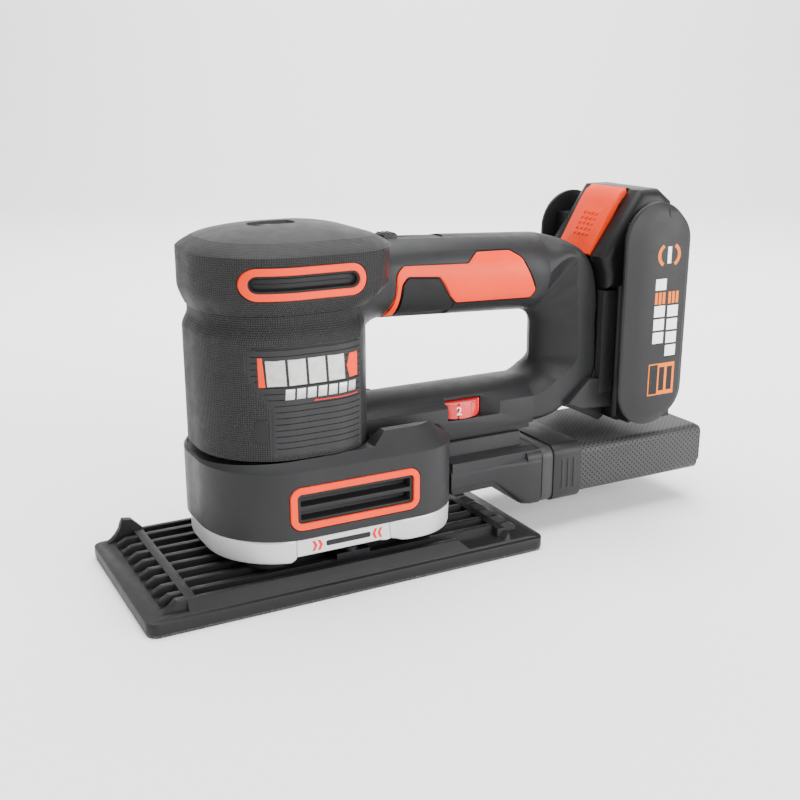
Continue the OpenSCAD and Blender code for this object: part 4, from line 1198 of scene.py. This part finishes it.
def speed_dial():
    """Red thumbwheel with flat facets and a white numeral."""
    cx, cy, r, z0, z1 = dial_size()
    outline, facets = [], 12
    for i in range(facets):
        for share, out in ((-0.86, 0.0), (-0.3, 0.0), (0.3, 0.0), (0.86, 0.0), (0.96, -0.55)):
            angle = (2 * i + share) * math.pi / facets
            outline.append((cx + (r + out) * math.cos(angle), cy + (r + out) * math.sin(angle)))
    make("speed_dial_wheel", *slab("z", outline, z0, z1, 0.5), "dial", "red_dial", ("speed_dial",), sharp=28)
    curve = bpy.data.curves.new("numeral", "FONT")
    curve.body = "2"
    curve.size = 5.6 * MM
    curve.extrude = 0.25 * MM
    curve.align_x = "CENTER"
    curve.align_y = "CENTER"
    text = placed("numeral", curve)
    text.rotation_euler = (math.radians(90), 0, math.radians(-14))
    text.location = Vector((cx - 3.2, cy - r + 0.35, (z0 + z1) / 2)) * MM
    bpy.context.view_layer.update()
    graph = bpy.context.evaluated_depsgraph_get()
    mesh = bpy.data.meshes.new_from_object(text.evaluated_get(graph))
    mesh.transform(text.matrix_world)
    bpy.data.objects.remove(text)
    dress(placed("dial_numeral", mesh), "dial", "red_dial", mat="white_mark", sharp=30)


# ---------------------------------------------------------------- battery pack, dock foot and duct
CHEEK_Z = (67.2, 138.9)


def stadium(cx, r, y, steps=20):
    """Upright outline with half-round ends, centred at CHEEK_Z."""
    turns = [math.pi * k / steps for k in range(steps + 1)]
    low = [(cx + r * math.cos(math.pi + t), y, CHEEK_Z[0] + r * math.sin(math.pi + t)) for t in turns]
    return low + [(cx + r * math.cos(t), y, CHEEK_Z[1] + r * math.sin(t)) for t in turns]


def battery_pack():
    """Core with round corners, and side plates with a bevelled rim round a plain panel."""
    outline = [(149.8, 50), (155, 47.5), (174, 47.5), (180, 52), (180, 156), (172, 162), (160.5, 162),
               (138.6, 131.2), (141.8, 123), (142.3, 115.4), (149.8, 115.4)]
    shell = refined("battery_shell", "battery", "black_plastic", 0)
    cut(shell, solid(*slab("y", outline, -24, 24, 5.0, 5)), "INTERSECT")
    soften(shell, 0.5, 2, 35)
    # Each level of a plate from the pack outwards: the centre's x, the end radius, the distance from the middle
    levels = [(161.75, 18.3, 32.9), (161.75, 18.5, 33.2), (161.75, 18.5, 34.4), (162.1, 18.0, 35.0),
              (165.2, 14.8, 36.7), (166.4, 11.3, 37.5)]
    for side, hand in SIDES:
        skin = loft([stadium(cx, r, side * y) for cx, r, y in levels])
        plate = make(f"battery_plate_{hand}", *skin, "battery", "black_plastic", (f"battery_cheek_{hand}",),
                     "charcoal_plastic", sharp=18)
        for z0, z1 in ((150.5, 160.0), (46.0, 52.5)):
            cut(plate, solid(*cuboid((165.6, side * 38 - 1.6, z0), (166.0, side * 38 + 1.6, z1))))
        reshade(plate, 18)
        neck = slab("y", rectangle(151.6, 50.2, 177.4, 147), side * 24.02, side * 33.1, 0.6)
        make(f"battery_neck_{hand}", *neck, "battery", "black_plastic")
        pack_marks(side, hand)


def pack_marks(side, hand):
    """Plain stand-ins on the pack's panel: a broken amber ring, columns of white blocks, amber bars, a badge."""
    face = (37.2, 37.58)

    def plaque(name, outline, mat, depths=face):
        make(f"pack_{name}_{hand}", *slab("y", outline, *(side * d for d in depths)), "battery", "black_plastic",
             mat=mat)

    for k, (a, b) in enumerate(((35, 145), (215, 325))):
        arc = [math.radians(a + 90 + (b - a) * i / 16) for i in range(17)]
        ring = [(166.9 + 6.9 * math.cos(t), 132.6 + 6.3 * math.sin(t)) for t in arc]
        ring += [(166.9 + 5.1 * math.cos(t), 132.6 + 4.6 * math.sin(t)) for t in reversed(arc)]
        plaque(f"arc_{k}", ring, "amber_mark")
    near, far, width, height = 159.8, 167.9, 6.4, 5.4
    for column, x, levels in (("near", near, (90.0, 96.5, 103.0, 116.0)),
                              ("far", far, (83.2, 89.7, 96.2, 102.7))):
        for k, z in enumerate(levels):
            plaque(f"{column}_block_{k}", rectangle(x, z, x + width, z + height), "white_mark")
    plaque("gauge", rectangle(165.9, 128.6, 168.1, 136.6), "white_mark")
    for column, x in (("near", near), ("far", far)):
        for k in range(3):
            plaque(f"{column}_bar_{k}", rectangle(x + 2.3 * k, 109.2, x + 1.6 + 2.3 * k, 114.9), "amber_mark")
    plaque("badge_frame", rectangle(158.6, 64.0, 174.6, 79.8), "amber_mark")
    for name, shape in (("core", rectangle(159.2, 64.6, 164.2, 79.2)),
                        ("line_0", rectangle(165.2, 66.0, 168.4, 77.8)),
                        ("line_1", rectangle(170.0, 66.0, 173.2, 77.8))):
        plaque(f"badge_{name}", shape, "black_plastic", (37.3, 37.64))


def dock_foot():
    """Lower edge of the dock's side panels, running from the frame back under the pack."""
    outline = [(123, 60.5), (131, 57.2), (149.4, 56.0), (149.4, 70), (136, 72)]
    make("dock_foot", *slab("y", outline, -21.9, 21.9, 0.8), "housing", "black_plastic", mat="charcoal_plastic")


def duct_skin():
    """Outside of the dust duct: a level run from the shroud that deepens towards the collar."""
    # Place along x, half width and foot
    stations = [(54.0, 28.1, 27.9), (70.0, 28.1, 28.1), (77.0, 28.2, 28.3), (80.0, 28.5, 26.6),
                (86.0, 29.3, 22.0), (92.0, 30.0, 17.4), (95.0, 30.2, 16.2), (98.0, 30.3, 15.7),
                (102.7, 30.3, 15.7), (103.0, 29.9, 16.1)]
    rings = []
    for x, w, foot in stations:
        section = [(w, foot), (w, 38.6), (w - 8.5, 43.2), (-w + 8.5, 43.2), (-w, 38.6), (-w, foot)]
        rings.append(on_axis("x", rounded(section, [3.5, 3.0, 2.5, 2.5, 3.0, 3.5]), x))
    piece = make("duct_skin", *loft(rings), "housing", "charcoal_plastic", sharp=28)
    cut(piece, solid(*slab("x", rectangle(-26, 18, 26, 39), 96, 110)))


# ---------------------------------------------------------------- everything in order
for build in (sleeve, vents, top_cap, crown_mark, barrel_marks, base_shroud, louvres, clamp_ring, clamp_lever,
              housing_back, handle_shell, handle_trim, rear_frame, bridge, speed_dial):
    build()
for node, body, mat, edge, segments in (
        ("base_plate", "plate", "plate_plastic", 0.3, 2),
        ("sole_pad", "plate", "plate_plastic", 0.5, 2),
        ("rubber_posts", "housing", "black_rubber", 0.4, 2),
        ("battery_dock", "housing", "charcoal_plastic", 0.6, 2),
        ("release_button", "button", "orange_plastic", 0.5, 3),
        ("power_switch", "switch", "black_plastic", 0.25, 2),
        ("dust_duct", "housing", "charcoal_plastic", 0.7, 3),
        ("dust_collar", "dust_box", "charcoal_plastic", 0.5, 2),
        ("collar_band", "dust_box", "grey_plastic", 0.4, 2),
        ("filter_box", "filter", "filter_mesh", 0.8, 3)):
    refined(node, body, mat, edge, segments)
for build in (battery_pack, dock_foot, duct_skin):
    build()


# ---------------------------------------------------------------- floor, light and camera

# Camera's turn to the left of the side view and its pitch, in degrees, and its place in metres
CAMERA_AZIMUTH = -28.07
CAMERA_PITCH = 16.29
CAMERA_PLACE = (-0.19265, -0.4403, 0.2143)


def floor():
    """Pale paper sweep: flat, then curving up behind the object."""
    mesh = bpy.data.meshes.new("floor")
    size, back, curve, count = 3.0, 1.4, 0.5, 12
    turns = [k * math.pi / 2 / count for k in range(count + 1)]
    profile = [(-size, 0.0)]
    profile += [(back + curve * math.sin(t), curve * (1 - math.cos(t))) for t in turns]
    profile.append((back + curve, 2.5))
    verts = [(s * size, y, z) for s in (-1, 1) for y, z in profile]
    n = len(profile)
    mesh.from_pydata(verts, [], [(i, i + 1, n + i + 1, n + i) for i in range(n - 1)])
    for poly in mesh.polygons:
        poly.use_smooth = True
    paper = Nodes("floor_paper")
    speck = paper.noise(4, 3)
    tone = paper.mix(paper.remap(speck, 0.3, 0.7, 0, 1), rgb(0.93, 0.93, 0.93), rgb(0.96, 0.96, 0.96))
    mesh.materials.append(paper.finish(tone, 0.9, paper.bump(speck, 0.02, 0.2)))
    sweep = placed("floor", mesh)
    sweep.rotation_euler = (0, 0, math.radians(CAMERA_AZIMUTH))


def studio_light():
    world = bpy.data.worlds.new("studio")
    world.use_nodes = True
    background = world.node_tree.nodes["Background"]
    background.inputs["Color"].default_value = rgb(1.0, 1.0, 1.0)
    background.inputs["Strength"].default_value = 0.55
    SCENE.world = world
    # Name, place, point aimed at, power in watts, side of the square in metres
    lamps = (("overhead", (0.05, 0.1, 1.5), (0.04, 0.0, 0.07), 56, 1.5),
             ("camera_side", (0.2, -1.4, 0.55), (0.04, 0.0, 0.07), 16, 0.8),
             ("front_side", (-1.2, -0.25, 0.55), (-0.02, 0.0, 0.07), 2.5, 0.7),
             ("rear_side", (1.0, -1.05, 0.4), (0.08, 0.0, 0.08), 20, 0.7),
             ("backdrop", (0.4, 0.5, 1.2), (0.9, 1.5, 0.5), 26, 1.2))
    for name, place, target, power, size in lamps:
        light = bpy.data.lights.new(name, "AREA")
        light.energy = power
        light.size = size
        lamp = placed(name, light)
        lamp.location = place
        lamp.rotation_euler = (Vector(target) - Vector(place)).to_track_quat("-Z", "Y").to_euler()


def camera():
    data = bpy.data.cameras.new("camera")
    data.lens = 50
    data.sensor_width = 36
    data.clip_start = 0.01
    cam = placed("camera", data)
    cam.location = CAMERA_PLACE
    cam.rotation_euler = (math.radians(90 - CAMERA_PITCH), 0, math.radians(CAMERA_AZIMUTH))
    SCENE.camera = cam


camera()
floor()
studio_light()
